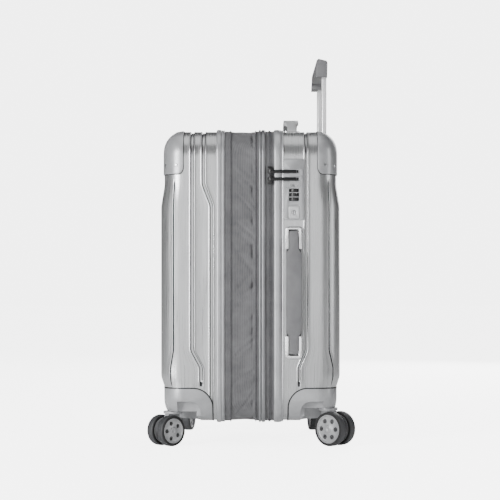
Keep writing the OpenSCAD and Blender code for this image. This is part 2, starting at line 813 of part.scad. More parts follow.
module lock_block(g) {
    translate([0, lock_y - lock_w / 2 - g, lock_low - g])
        cube([lock_in + lock_out + 10, lock_w + 2 * g, lock_h + 2 * g]);
}
module lock_body() {
    y_l = lock_y - lock_w / 2;
    color("gray") {
        difference() {
            union() {
                translate([x_side - lock_in, y_l, lock_low]) cube([lock_in + seat, lock_w, lock_h]);
                translate([0, lock_y, lock_low + lock_h / 2]) plate(x_side, lock_face, lock_w, lock_h, 4);
                for (z = pull_z) translate([0, lock_y + 4, z])
                    plate(lock_face - 0.1, lock_face + 1.4, 22, 9, 1);
            }
            for (z = pull_z) {
                translate([lock_face - 0.3, y_l - 1, z - 3.3]) cube([5, 27.6, 6.6]);
                translate([lock_face - 4, lock_y + 3.4, z - 2.4]) cube([9, 4.4, 4.8]);
            }
            for (i = [0 : 2]) translate([dial_x - dial_r - 0.6, lock_y - dial_r - 0.6,
                dial_z - i * dial_pitch - dial_h / 2 - 0.3]) cube([30, 2 * dial_r + 1.2, dial_h + 0.6]);
            translate([lock_face - 2, lock_y, dial_z + 9]) rotate([0, 90, 0]) cylinder(r = 1.6, h = 5);
            translate([0, lock_y, button_z])
                plate(lock_face - 9, lock_face + 9, button_w + 0.5, button_h + 0.5, 3.2);
        }
        // the dials' spindle
        translate([dial_x, lock_y, dial_z - 2 * dial_pitch - dial_h / 2 - 1])
            cylinder(r = dial_bore - run, h = 2 * dial_pitch + dial_h + 2);
    }
}
module lock_dial(i) {
    color("black") translate([dial_x, lock_y, dial_z - i * dial_pitch]) difference() {
        cylinder(r = dial_r, h = dial_h, center = true);
        for (k = [0 : 9]) rotate([0, 0, k * 36]) translate([dial_r, 0, 0])
            cylinder(r = 0.7, h = 2 * dial_h, center = true);
        cylinder(r = dial_bore, h = 2 * dial_h, center = true);
    }
}
module lock_release_button() {
    color("silver") translate([lock_face - 5.5, lock_y, button_z]) difference() {
        plate(0, 6.5, button_w, button_h, 3);
        translate([-1, 0, 0]) rotate([0, 90, 0]) cylinder(r = key_r + run, h = 20);
    }
}
module lock_key_core() {
    color("gray") translate([lock_face - 8.9, lock_y, button_z]) difference() {
        rotate([0, 90, 0]) cylinder(r = key_r, h = 9);
        translate([6, -0.6, -2.4]) cube([5, 1.2, 4.8]);
    }
}

// The sliders on the main zip, side by side, each with a bail for its pull.
slider_top = 4.2;
bail_x = x_side + slider_top + 3.4;
module zip_sliders() {
    color("black") for (i = [0, 1]) translate([x_side + 3, y_seam, pull_z[i] + (i == 0 ? 3 : -3)]) {
        rotate([90, 0, 90]) linear_extrude(slider_top - 2.2) polygon([[-4.5, -6], [4.5, -6], [5, 3], [3, 6],
            [-3, 6], [-5, 3]]);
        for (s = [-1, 1]) translate([0, -1.5, s * 4.8 - (i == 0 ? 3 : -3) - 0.8]) cube([bail_x - x_side - 1, 5, 1.6]);
        translate([bail_x - x_side - 3, 1, -(i == 0 ? 3 : -3)]) rotate([0, 0, 0]) cylinder(r = 1, h = 11, center = true);
    }
}
// A pull: an eye round the bail, a tab that crosses the frame, and a lug that drops into the lock.
module zip_pull(i) {
    color("black") translate([bail_x, y_seam + 1, pull_z[i]]) difference() {
        union() {
            cylinder(r = 2.3, h = 7.6, center = true);
            translate([-1.2, 0, -2.8]) cube([2.4, pull_reach, 5.6]);
            translate([-4.9, lock_y + 4.2 - y_seam - 1, -1.9]) cube([4, 2.8, 3.8]);
        }
        cylinder(r = 1 + run, h = 20, center = true);
    }
}

// ---------- casters ----------

module at_caster(side, right, yaw) {
    translate([right ? swivel_x : -swivel_x, side < 0 ? swivel_front_y : swivel_rear_y, 0])
        rotate([0, 0, yaw]) children();
}
// A fork: swivel plate, kingpin and web, with the axle pressed through it.
module fork(r) {
    top = 2 * r + gap_wheel;
    web = twin_gap - 1;
    difference() {
        union() {
            translate([0, 0, top]) cylinder(r = 17, h = plate_t);
            translate([0, 0, top]) cylinder(r = kingpin_r, h = plate_t + 22);
            rotate([90, 0, 0]) linear_extrude(web, center = true) polygon([[-13, top + 1], [14, top + 1],
                [trail + 8, r + 9], [trail + 8, r], [trail - 8, r], [trail - 12, r + 10], [-9, r + 18]]);
            translate([trail, 0, r]) rotate([90, 0, 0]) cylinder(r = 8, h = web, center = true);
        }
        translate([trail, 0, r]) rotate([90, 0, 0]) cylinder(r = axle_r + run / 2, h = 60, center = true);
    }
    translate([trail, 0, r]) rotate([90, 0, 0])
        cylinder(r = axle_r, h = twin_gap + 2 * (wheel_w - hub_cover) - 0.4, center = true);
}
// One wheel of a twin: the hub, and the tyre moulded round it. side is -1 or 1.
module wheel(r, holes, side) {
    hub_r = r - tyre_t;
    translate([trail, 0, r]) rotate([side * 90, 0, 0]) translate([0, 0, twin_gap / 2]) {
        difference() {
            cylinder(r = hub_r, h = wheel_w - 0.8);
            for (k = [0 : holes - 1]) rotate([0, 0, 90 + k * 360 / holes])
                translate([hub_r * 0.62, 0, -1]) cylinder(r = hub_r * 0.15, h = 30);
            translate([0, 0, -1]) difference() {
                cylinder(r = hub_r - 2.5, h = 4);
                cylinder(r = 7, h = 4);
            }
            translate([0, 0, -1]) cylinder(r = axle_r + run, h = wheel_w - hub_cover + 1);
        }
        rotate_extrude() difference() {
            translate([hub_r + 0.01, 0]) square([tyre_t - 0.01, wheel_w]);
            translate([r - 2, wheel_w - 2]) difference() {
                square(3);
                circle(r = 2);
            }
            translate([r - 2, 2]) mirror([0, 1]) difference() {
                square(3);
                circle(r = 2);
            }
        }
    }
}
module caster_fork(side, right, yaw) {
    color("gray") at_caster(side, right, yaw) fork(side < 0 ? front_wheel_r : rear_wheel_r);
}
module caster_wheel(side, right, yaw, twin) {
    color("dimgray") at_caster(side, right, yaw)
        wheel(side < 0 ? front_wheel_r : rear_wheel_r, side < 0 ? 5 : 6, twin);
}

// ---------- nodes ----------

rear_shell();
rear_rim_frame();
main_zip_rear_tape();
corner_guards(1);  // rear_corner_guards
guard_rivets(1);  // rear_guard_rivets
wheel_housings(1, rear_wheel_r);  // rear_wheel_housings
housing_gaskets(1);  // rear_housing_gaskets
rear_lining();
packing_straps();
strap_buckle();
trolley_outer_tubes();
trolley_bezel();
trolley_bracket();
lock_body();
handle_bases();
handle_end_caps();
zip_sliders();
side_feet(1);  // rear_side_feet
side_handle_grip();
top_handle_grip();
lock_dial(0);  // lock_dial_upper
lock_dial(1);  // lock_dial_middle
lock_dial(2);  // lock_dial_lower
lock_release_button();
lock_key_core();
zip_pull(0);  // zip_pull_upper
zip_pull(1);  // zip_pull_lower
trolley_middle_tubes();
trolley_middle_collars();
trolley_inner_tubes();
trolley_grip();
trolley_button();
trolley_push_rods();
middle_frame();
main_zip_front_tape();
expansion_zip_rear_tape();
expansion_gusset();
hinge_fabric();
front_shell();
front_rim_frame();
expansion_zip_front_tape();
corner_guards(-1);  // front_corner_guards
guard_rivets(-1);  // front_guard_rivets
wheel_housings(-1, front_wheel_r);  // front_wheel_housings
housing_gaskets(-1);  // front_housing_gaskets
front_lining();
side_feet(-1);  // front_side_feet
caster_fork(-1, true, front_yaw[0]);  // caster_fork_front_right
caster_wheel(-1, true, front_yaw[0], 1);  // caster_wheel_front_right_a
caster_wheel(-1, true, front_yaw[0], -1);  // caster_wheel_front_right_b
caster_fork(-1, false, front_yaw[1]);  // caster_fork_front_left
caster_wheel(-1, false, front_yaw[1], 1);  // caster_wheel_front_left_a
caster_wheel(-1, false, front_yaw[1], -1);  // caster_wheel_front_left_b
caster_fork(1, true, rear_yaw[0]);  // caster_fork_rear_right
caster_wheel(1, true, rear_yaw[0], 1);  // caster_wheel_rear_right_a
caster_wheel(1, true, rear_yaw[0], -1);  // caster_wheel_rear_right_b
caster_fork(1, false, rear_yaw[1]);  // caster_fork_rear_left
caster_wheel(1, false, rear_yaw[1], 1);  // caster_wheel_rear_left_a
caster_wheel(1, false, rear_yaw[1], -1);  // caster_wheel_rear_left_b
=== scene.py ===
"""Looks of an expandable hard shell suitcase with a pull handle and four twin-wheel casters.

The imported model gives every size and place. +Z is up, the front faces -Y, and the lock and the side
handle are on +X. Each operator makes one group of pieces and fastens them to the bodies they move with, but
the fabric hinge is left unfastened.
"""

import json
import math

import bmesh
import bpy
import numpy as np
from bpy.props import FloatProperty, FloatVectorProperty
from mathutils import Matrix, Vector

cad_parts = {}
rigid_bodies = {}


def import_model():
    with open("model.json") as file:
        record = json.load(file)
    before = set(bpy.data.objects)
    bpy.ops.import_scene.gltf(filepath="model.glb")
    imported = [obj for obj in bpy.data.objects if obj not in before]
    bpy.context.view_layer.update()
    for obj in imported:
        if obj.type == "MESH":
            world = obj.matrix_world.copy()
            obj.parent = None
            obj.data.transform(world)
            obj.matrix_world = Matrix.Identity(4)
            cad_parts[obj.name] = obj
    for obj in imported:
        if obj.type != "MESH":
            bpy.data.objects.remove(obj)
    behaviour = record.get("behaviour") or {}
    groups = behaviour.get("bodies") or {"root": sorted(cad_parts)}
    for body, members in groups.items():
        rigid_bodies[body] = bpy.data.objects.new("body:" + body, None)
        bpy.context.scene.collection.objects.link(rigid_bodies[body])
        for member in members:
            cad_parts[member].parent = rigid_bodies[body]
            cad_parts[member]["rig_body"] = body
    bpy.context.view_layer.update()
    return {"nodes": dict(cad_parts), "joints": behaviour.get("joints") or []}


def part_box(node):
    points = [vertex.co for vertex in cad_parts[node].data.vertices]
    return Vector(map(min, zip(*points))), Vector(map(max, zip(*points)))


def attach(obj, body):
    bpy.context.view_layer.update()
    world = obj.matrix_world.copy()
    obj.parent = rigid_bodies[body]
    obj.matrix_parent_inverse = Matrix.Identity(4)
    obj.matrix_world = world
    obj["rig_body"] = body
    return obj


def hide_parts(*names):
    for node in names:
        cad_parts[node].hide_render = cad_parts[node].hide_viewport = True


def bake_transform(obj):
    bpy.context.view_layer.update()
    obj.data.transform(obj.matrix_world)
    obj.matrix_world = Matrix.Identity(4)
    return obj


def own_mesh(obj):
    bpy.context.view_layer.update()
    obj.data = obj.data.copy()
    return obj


bl_info = {
    "name": "Expandable hard shell suitcase",
    "version": (1, 0, 0),
    "blender": (4, 5, 0),
    "location": "View3D > Sidebar > Suitcase",
    "description": "Builds the shells, fabrics, fittings and casters of a suitcase",
    "category": "Object",
}

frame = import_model()
NODES = frame["nodes"]

MM = 0.001
REAR, FRONT = 1, -1
RIGHT, LEFT = 1, -1
SHELL_NODE = {REAR: "rear_shell", FRONT: "front_shell"}
HALF = {REAR: "rear", FRONT: "front"}
BODY = {REAR: "rear_case", FRONT: "front_case"}
LOW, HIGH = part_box("rear_shell")
X_SIDE, Z_LOW, Z_TOP = HIGH.x, LOW.z, HIGH.z
Z_MID = (Z_LOW + Z_TOP) / 2
CORNER_R = 45 * MM
EDGE_R = 35 * MM
BELT_RISE = 6 * MM


# ---------- colour and materials ----------


def linear(hex_colour, alpha=1.0):
    """An sRGB hex colour as linear values."""
    parts = [int(hex_colour[i : i + 2], 16) / 255 for i in (0, 2, 4)]
    return tuple(
        p / 12.92 if p <= 0.04045 else ((p + 0.055) / 1.055) ** 2.4 for p in parts
    ) + (alpha,)


def add(tree, kind, settings=None, sockets=None, stops=()):
    """Adds a node: its settings, its sockets as values or (node, output) links, its ramp's colour stops."""
    made = tree.nodes.new(kind)
    for name, value in (settings or {}).items():
        setattr(made, name, value)
    for name, value in (sockets or {}).items():
        if isinstance(value, tuple) and isinstance(value[0], bpy.types.Node):
            tree.links.new(value[0].outputs[value[1]], made.inputs[name])
        else:
            made.inputs[name].default_value = value
    for i, (place, hue) in enumerate(stops):
        ramp = made.color_ramp.elements
        stop = ramp[i] if i < 2 else ramp.new(place)
        stop.position, stop.color = place, hue
    return made


def new_material(name):
    """A material whose node tree is still empty."""
    made = bpy.data.materials.new(name)
    made.use_nodes = True
    made.node_tree.nodes.clear()
    return made, made.node_tree


# Slow changes of tone go from dark to light over the middle part of a noise.
TONE_LOW, TONE_HIGH = 0.3, 0.7
PLASTIC_IOR = 1.5
RUBBER_IOR = 1.52


def brushed_film(light, dark):
    """ABS and polycarbonate sheet under a brushed metal film: long hairlines, soft silver gloss, and
    painted shade on the walls of the pressed grooves.
    """
    made, tree = new_material("brushed_metal_film")
    coords = add(tree, "ShaderNodeTexCoord")
    sheet = add(tree, "ShaderNodeUVMap", {"uv_map": "sheet"})
    # Real hairlines are 0.1 mm apart and run the length of the sheet: here they are 1.5 mm
    # apart and 110 mm long, so that they show.
    drawn_out = add(
        tree, "ShaderNodeMapping", sockets={"Vector": (sheet, "UV"), "Scale": (650, 9, 1)}
    )
    hairlines = add(
        tree,
        "ShaderNodeTexNoise",
        sockets={"Vector": (drawn_out, "Vector"), "Scale": 1.0, "Detail": 4.0, "Roughness": 0.65},
    )
    spread = add(
        tree, "ShaderNodeMapping", sockets={"Vector": (coords, "Object"), "Scale": (16, 16, 5)}
    )
    patches = add(
        tree, "ShaderNodeTexNoise", sockets={"Vector": (spread, "Vector"), "Scale": 1.0}
    )
    streaks = add(
        tree,
        "ShaderNodeMath",
        {"operation": "MULTIPLY_ADD"},
        {0: (patches, "Fac"), 1: 0.45, 2: (hairlines, "Fac")},
    )
    # The walls of the pressed grooves are darkened here: painted shade in the grooves.
    groove = add(tree, "ShaderNodeUVMap", {"uv_map": "groove"})
    depth = add(tree, "ShaderNodeSeparateXYZ", sockets={"Vector": (groove, "UV")})
    wall = add(tree, "ShaderNodeMath", {"operation": "PINGPONG"}, {0: (depth, "X"), 1: 0.5})
    shadow = add(
        tree,
        "ShaderNodeMapRange",
        sockets={
            "Value": (wall, "Value"), "From Min": 0.01, "From Max": 0.14, "To Min": 0.0, "To Max": 0.85
        },
    )
    tone = add(
        tree,
        "ShaderNodeMath",
        {"operation": "SUBTRACT"},
        {0: (streaks, "Value"), 1: (shadow, "Result")},
    )
    # The darkest stop is the colour of the painted shade, where the groove walls are darkened.
    ramp = add(
        tree,
        "ShaderNodeValToRGB",
        sockets={"Fac": (tone, "Value")},
        stops=[(0.12, linear("343537")), (0.5, dark), (0.95, light)],
    )
    rough = add(
        tree,
        "ShaderNodeMapRange",
        sockets={
            "Value": (hairlines, "Fac"),
            "From Min": TONE_LOW, "From Max": TONE_HIGH, "To Min": 0.24, "To Max": 0.38,
        },
    )
    bump = add(
        tree,
        "ShaderNodeBump",
        sockets={"Strength": 0.3, "Distance": 0.02 * MM, "Height": (hairlines, "Fac")},
    )
    shader = add(
        tree,
        "ShaderNodeBsdfPrincipled",
        sockets={
            "Base Color": (ramp, "Color"), "Roughness": (rough, "Result"), "Normal": (bump, "Normal"),
            "Metallic": 0.85, "IOR": PLASTIC_IOR,
        },
    )
    add(tree, "ShaderNodeOutputMaterial", sockets={"Surface": (shader, "BSDF")})
    return made


def painted_plastic(name, light, dark, rough=0.4, metallic=0.0, grain_mm=0.8, depth_mm=0.03):
    """Moulded plastic with satin paint: an even tone with a very fine orange peel and slight rubbing."""
    made, tree = new_material(name)
    coords = add(tree, "ShaderNodeTexCoord")
    peel = add(
        tree,
        "ShaderNodeTexNoise",
        sockets={"Vector": (coords, "Object"), "Scale": 1 / (grain_mm * MM)},
    )
    # Rubbing shows in patches about 35 mm wide.
    rubbed = add(
        tree,
        "ShaderNodeTexNoise",
        sockets={"Vector": (coords, "Object"), "Scale": 28.0, "Detail": 5.0, "Roughness": 0.6},
    )
    ramp = add(
        tree,
        "ShaderNodeValToRGB",
        sockets={"Fac": (rubbed, "Fac")},
        stops=[(TONE_LOW, dark), (TONE_HIGH, light)],
    )
    worn = add(
        tree,
        "ShaderNodeMapRange",
        sockets={
            "Value": (rubbed, "Fac"), "From Min": TONE_LOW, "From Max": TONE_HIGH,
            "To Min": rough - 0.05, "To Max": rough + 0.07,
        },
    )
    bump = add(
        tree,
        "ShaderNodeBump",
        sockets={"Strength": 0.4, "Distance": depth_mm * MM, "Height": (peel, "Fac")},
    )
    shader = add(
        tree,
        "ShaderNodeBsdfPrincipled",
        sockets={
            "Base Color": (ramp, "Color"), "Roughness": (worn, "Result"), "Normal": (bump, "Normal"),
            "Metallic": metallic, "IOR": PLASTIC_IOR,
        },
    )
    add(tree, "ShaderNodeOutputMaterial", sockets={"Surface": (shader, "BSDF")})
    return made


def woven(name, light, dark, thread_mm=0.9, rough=0.85, sheen=0.15):
    """Woven polyester: plain weave threads, matt with a little sheen, and slow changes of tone."""
    made, tree = new_material(name)
    coords = add(tree, "ShaderNodeTexCoord")
    # Real threads are 0.3 mm apart: here they are about 1 mm apart, so that they show.
    per = 1 / (2 * thread_mm * MM)
    threads = []
    for direction, scale in (("DIAGONAL", (per, per, 0)), ("Z", (0, 0, per))):
        place = add(
            tree, "ShaderNodeMapping", sockets={"Vector": (coords, "Object"), "Scale": scale}
        )
        wave = add(
            tree,
            "ShaderNodeTexWave",
            {"bands_direction": direction},
            {"Vector": (place, "Vector"), "Scale": 0.31, "Distortion": 0.4, "Detail": 1.0},
        )
        threads.append(wave)
    weave = add(
        tree,
        "ShaderNodeMath",
        {"operation": "MULTIPLY"},
        {0: (threads[0], "Fac"), 1: (threads[1], "Fac")},
    )
    tone = add(
        tree,
        "ShaderNodeTexNoise",
        sockets={"Vector": (coords, "Object"), "Scale": 40.0, "Detail": 4.0, "Roughness": 0.6},
    )
    mixed = add(
        tree,
        "ShaderNodeMath",
        {"operation": "MULTIPLY_ADD"},
        {0: (weave, "Value"), 1: 0.45, 2: (tone, "Fac")},
    )
    ramp = add(
        tree,
        "ShaderNodeValToRGB",
        sockets={"Fac": (mixed, "Value")},
        stops=[(0.35, dark), (0.95, light)],
    )
    bump = add(
        tree,
        "ShaderNodeBump",
        sockets={"Strength": 0.5, "Distance": 0.15 * MM, "Height": (weave, "Value")},
    )
    shader = add(
        tree,
        "ShaderNodeBsdfPrincipled",
        sockets={
            "Base Color": (ramp, "Color"), "Normal": (bump, "Normal"), "Roughness": rough,
            "Sheen Weight": sheen, "Sheen Roughness": 0.5,
        },
    )
    add(tree, "ShaderNodeOutputMaterial", sockets={"Surface": (shader, "BSDF")})
    return made


def drawn_metal(name, light, dark, rough=0.25, along_mm=60.0):
    """Drawn and anodised aluminium, or plain steel: faint lines along z and a clean reflection."""
    made, tree = new_material(name)
    coords = add(tree, "ShaderNodeTexCoord")
    # Draw lines are about 1 mm apart here, and long.
    drawn_out = add(
        tree,
        "ShaderNodeMapping",
        sockets={"Vector": (coords, "Object"), "Scale": (900, 900, 1 / (along_mm * MM))},
    )
    lines = add(
        tree,
        "ShaderNodeTexNoise",
        sockets={"Vector": (drawn_out, "Vector"), "Scale": 1.0, "Detail": 3.0},
    )
    ramp = add(
        tree,
        "ShaderNodeValToRGB",
        sockets={"Fac": (lines, "Fac")},
        stops=[(TONE_LOW, dark), (TONE_HIGH, light)],
    )
    uneven = add(
        tree,
        "ShaderNodeMapRange",
        sockets={
            "Value": (lines, "Fac"), "From Min": TONE_LOW, "From Max": TONE_HIGH,
            "To Min": rough - 0.04, "To Max": rough + 0.08,
        },
    )
    bump = add(
        tree,
        "ShaderNodeBump",
        sockets={"Strength": 0.25, "Distance": 0.01 * MM, "Height": (lines, "Fac")},
    )
    shader = add(
        tree,
        "ShaderNodeBsdfPrincipled",
        sockets={
            "Base Color": (ramp, "Color"), "Roughness": (uneven, "Result"),
            "Normal": (bump, "Normal"), "Metallic": 1.0,
        },
    )
    add(tree, "ShaderNodeOutputMaterial", sockets={"Surface": (shader, "BSDF")})
    return made


def rubber(name, light, dark, rough=0.6):
    """Thermoplastic rubber: dark, matt, with dust in its fine grain."""
    made, tree = new_material(name)
    coords = add(tree, "ShaderNodeTexCoord")
    grain = add(
        tree,
        "ShaderNodeTexNoise",
        sockets={"Vector": (coords, "Object"), "Scale": 700.0, "Detail": 3.0},
    )
    dust = add(
        tree,
        "ShaderNodeTexNoise",
        sockets={"Vector": (coords, "Object"), "Scale": 60.0, "Detail": 5.0, "Roughness": 0.65},
    )
    ramp = add(
        tree,
        "ShaderNodeValToRGB",
        sockets={"Fac": (dust, "Fac")},
        stops=[(TONE_LOW, dark), (TONE_HIGH, light)],
    )
    dusty = add(
        tree,
        "ShaderNodeMapRange",
        sockets={
            "Value": (dust, "Fac"), "From Min": TONE_LOW, "From Max": TONE_HIGH,
            "To Min": rough - 0.08, "To Max": rough + 0.12,
        },
    )
    bump = add(
        tree,
        "ShaderNodeBump",
        sockets={"Strength": 0.5, "Distance": 0.05 * MM, "Height": (grain, "Fac")},
    )
    shader = add(
        tree,
        "ShaderNodeBsdfPrincipled",
        sockets={
            "Base Color": (ramp, "Color"), "Roughness": (dusty, "Result"),
            "Normal": (bump, "Normal"), "IOR": RUBBER_IOR,
        },
    )
    add(tree, "ShaderNodeOutputMaterial", sockets={"Surface": (shader, "BSDF")})
    return made


MATERIALS = {}


def finish_of(name):
    """The material of that name, made when it is first asked for."""
    if name not in MATERIALS:
        c = bpy.context.scene.suitcase_colours
        MATERIALS[name] = {
            "shell": lambda: brushed_film(tuple(c.shell_light) + (1,), tuple(c.shell_dark) + (1,)),
            "frame": lambda: painted_plastic(
                "satin_silver_abs", tuple(c.frame) + (1,), linear("9a9b9d"), 0.34, 0.5
            ),
            "middle_frame": lambda: painted_plastic(
                "satin_grey_frame", linear("858688"), linear("747577"), 0.34, 0.5
            ),
            "guard": lambda: painted_plastic(
                "satin_grey_abs", tuple(c.guard) + (1,), linear("949597"), 0.32, 0.4
            ),
            "housing": lambda: painted_plastic(
                "moulded_grey_nylon", linear("a5a6a8"), linear("949597"), 0.38, 0.3
            ),
            "gusset": lambda: woven(
                "grey_polyester_weave", tuple(c.gusset) + (1,), linear("4c4c4e"), 1.0
            ),
            "tape": lambda: woven("zip_tape_weave", linear("5c5c5e"), linear("434345"), 0.8),
            "teeth": lambda: painted_plastic(
                "nylon_coil", linear("59595c"), linear("414144"), 0.45, 0.0, 0.5
            ),
            "lining": lambda: woven(
                "lining_polyester", tuple(c.lining) + (1,), linear("35363a"), 1.2, 0.8, 0.25
            ),
            "strap": lambda: woven("elastic_webbing", linear("2f2f31"), linear("19191a"), 1.4),
            "black": lambda: painted_plastic(
                "black_acetal", linear("232324"), linear("161617"), 0.45, 0.0, 1.0
            ),
            "black_metal": lambda: painted_plastic(
                "black_enamelled_zinc", linear("1d1d1e"), linear("0f0f10"), 0.3, 0.0, 1.0, 0.01
            ),
            "tube": lambda: painted_plastic(
                "bright_anodised_aluminium", linear("f4f4f5"), linear("ebeced"), 0.2, 0.35, 3.0, 0.0005
            ),
            "steel": lambda: drawn_metal(
                "zinc_plated_steel", linear("c3c4c6"), linear("9d9ea0"), 0.3, 8.0
            ),
            "chrome": lambda: drawn_metal(
                "polished_zinc", linear("f2f2f2"), linear("dcdddf"), 0.16, 25.0
            ),
            "grip": lambda: painted_plastic(
                "soft_touch_grey", tuple(c.grip) + (1,), linear("5e5e60"), 0.55, 0.0, 0.7, 0.06
            ),
            "pale_grip": lambda: painted_plastic(
                "pale_moulded_grip", linear("c4c5c6"), linear("b2b3b4"), 0.45, 0.1
            ),
            "expansion_tape": lambda: woven(
                "expansion_tape_weave", linear("626264"), linear("4a4a4c"), 0.8
            ),
            "lock": lambda: painted_plastic(
                "satin_lock_cover", linear("a4a5a7"), linear("939496"), 0.3, 0.45
            ),
            "button": lambda: painted_plastic(
                "lock_button_paint", linear("c3c4c5"), linear("b0b1b3"), 0.3, 0.35
            ),
            "fork": lambda: painted_plastic(
                "glass_filled_nylon", linear("a9aaac"), linear("8f9092"), 0.42, 0.15
            ),
            "hub": lambda: painted_plastic("hub_abs", linear("a5a6a7"), linear("8c8d8f"), 0.36, 0.35),
            "tyre": lambda: rubber("wheel_rubber", linear("3f4042"), linear("2a2b2d"), 0.58),
            "wall": lambda: rubber("tyre_sidewall", linear("19191a"), linear("0e0e0f"), 0.5),
            "piping": lambda: rubber("black_piping", linear("1f1f20"), linear("121213"), 0.5),
            "foot": lambda: painted_plastic("moulded_foot", linear("7e7f81"), linear("6a6b6d"), 0.5),
        }[name]()
    return MATERIALS[name]


# ---------- meshes ----------


def mesh_object(name, points, faces, finish, sharp=40.0):
    """A mesh object with smooth shading that breaks at edges sharper than that many degrees."""
    mesh = bpy.data.meshes.new(name)
    mesh.from_pydata([tuple(p) for p in points], [], [tuple(f) for f in faces])
    made = bpy.data.objects.new(name, mesh)
    bpy.context.scene.collection.objects.link(made)
    if finish:
        mesh.materials.append(finish_of(finish))
    shade(made, sharp)
    return made


def shade(piece, sharp=40.0):
    """Smooth shading with sharp edges kept."""
    piece.data.polygons.foreach_set("use_smooth", [True] * len(piece.data.polygons))
    piece.data.set_sharp_from_angle(angle=math.radians(sharp))
    piece.data.update()


def tidied(piece, weld=0.01 * MM, outward=True, sharp=40.0):
    """Welds a mesh's doubled points and turns its faces outwards."""
    work = bmesh.new()
    work.from_mesh(piece.data)
    bmesh.ops.remove_doubles(work, verts=work.verts, dist=weld)
    bmesh.ops.dissolve_degenerate(work, edges=work.edges, dist=weld / 4)
    if outward:
        bmesh.ops.recalc_face_normals(work, faces=work.faces)
    work.to_mesh(piece.data)
    work.free()
    shade(piece, sharp)
    return piece


def applied(piece, *kinds, sharp=40.0):
    """Adds modifiers, each (kind, {settings}), and makes their result the piece's own mesh."""
    for kind, settings in kinds:
        modifier = piece.modifiers.new(kind.lower(), kind)
        for name, value in settings.items():
            setattr(modifier, name, value)
    bpy.context.view_layer.update()
    shown = piece.evaluated_get(bpy.context.evaluated_depsgraph_get())
    result = bpy.data.meshes.new_from_object(shown)
    piece.modifiers.clear()
    old = piece.data
    piece.data = result
    bpy.data.meshes.remove(old)
    shade(piece, sharp)
    return piece


def joined(name, pieces):
    """Several objects as one mesh."""
    work = bmesh.new()
    materials = []
    for p in pieces:
        start = len(work.faces)
        work.from_mesh(p.data)
        work.faces.ensure_lookup_table()
        for f in work.faces[start:]:
            used = p.data.materials[f.material_index] if p.data.materials else None
            if used not in materials:
                materials.append(used)
            f.material_index = materials.index(used)
    mesh = bpy.data.meshes.new(name)
    work.to_mesh(mesh)
    work.free()
    for m in materials:
        if m:
            mesh.materials.append(m)
    for p in pieces:
        bpy.data.objects.remove(p)
    made = bpy.data.objects.new(name, mesh)
    bpy.context.scene.collection.objects.link(made)
    shade(made)
    return made


def prism(points, axis, low, high):
    """A closed straight solid: its outline seen along the axis, in the order of the other two."""
    n = len(points)
    at = {
        0: lambda h, p: (h, p[0], p[1]),
        1: lambda h, p: (p[0], h, p[1]),
        2: lambda h, p: (p[0], p[1], h),
    }[axis]
    verts = [at(low, p) for p in points] + [at(high, p) for p in points]
    faces = [tuple(range(n)), tuple(range(2 * n - 1, n - 1, -1))]
    faces += [(i, (i + 1) % n, n + (i + 1) % n, n + i) for i in range(n)]
    return tidied(mesh_object("prism", verts, faces, None))


def rounded_points(a0, a1, b0, b1, radius, steps=8):
    """The outline of a rounded rectangle."""
    points = []
    for ca, cb, start in (
        (a1 - radius, b1 - radius, 0),
        (a0 + radius, b1 - radius, 90),
        (a0 + radius, b0 + radius, 180),
        (a1 - radius, b0 + radius, 270),
    ):
        for i in range(steps + 1):
            t = math.radians(start + 90 * i / steps)
            points.append((ca + radius * math.cos(t), cb + radius * math.sin(t)))
    return points


def cut(piece, cutters, sharp=40.0, operation="DIFFERENCE"):
    """Cuts the piece with closed solids, which are then removed."""
    for tool in cutters:
        tool.hide_render = True
        applied(
            piece,
            ("BOOLEAN", {"operation": operation, "object": tool, "solver": "MANIFOLD"}),
            sharp=sharp,
        )
        bpy.data.objects.remove(tool)
    return piece


def softened(node, finish, width_mm=0.5, steps=2):
    """A CAD node's shape with its sharp edges rounded, standing for the node on its own body."""
    source = NODES[node]
    work = bmesh.new()
    work.from_mesh(source.data)
    bmesh.ops.remove_doubles(work, verts=work.verts, dist=0.01 * MM)
    bmesh.ops.dissolve_limit(
        work, angle_limit=math.radians(0.6), verts=work.verts, edges=work.edges
    )
    plain = bpy.data.meshes.new(node + "_look")
    work.verts.index_update()
    plain.from_pydata(
        [v.co[:] for v in work.verts], [], [[v.index for v in f.verts] for f in work.faces]
    )
    work.free()
    made = bpy.data.objects.new(node + "_look", plain)
    bpy.context.scene.collection.objects.link(made)
    plain.materials.append(finish_of(finish))
    applied(
        made,
        (
            "BEVEL",
            {
                "width": width_mm * MM,
                "segments": steps,
                "limit_method": "ANGLE",
                "angle_limit": math.radians(32),
                "use_clamp_overlap": True,
                "miter_outer": "MITER_ARC",
            },
        ),
        sharp=35.0,
    )
    return settle(made, source["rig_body"], [node])


def settle(piece, body, nodes):
    """Fastens a finished piece to its body, and hides the CAD nodes it stands for."""
    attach(piece, body)
    if nodes:
        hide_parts(*nodes)
    return piece


# ---------- the case's outline and its two trays ----------


def square_to_disc(u, v):
    """Bends a square's quarter grid into a quarter disc's: each place's distance and angle."""
    big = np.maximum(u, v)
    with np.errstate(divide="ignore", invalid="ignore"):
        angle = np.where(
            u >= v,
            (math.pi / 4) * np.where(u > 0, v / u, 0),
            math.pi / 2 - (math.pi / 4) * np.where(v > 0, u / v, 0),
        )
    return big, np.where(big > 0, angle, 0)


def smooth(t):
    """A soft step from 0 to 1."""
    t = np.clip(t, 0, 1)
    return t * t * (3 - 2 * t)


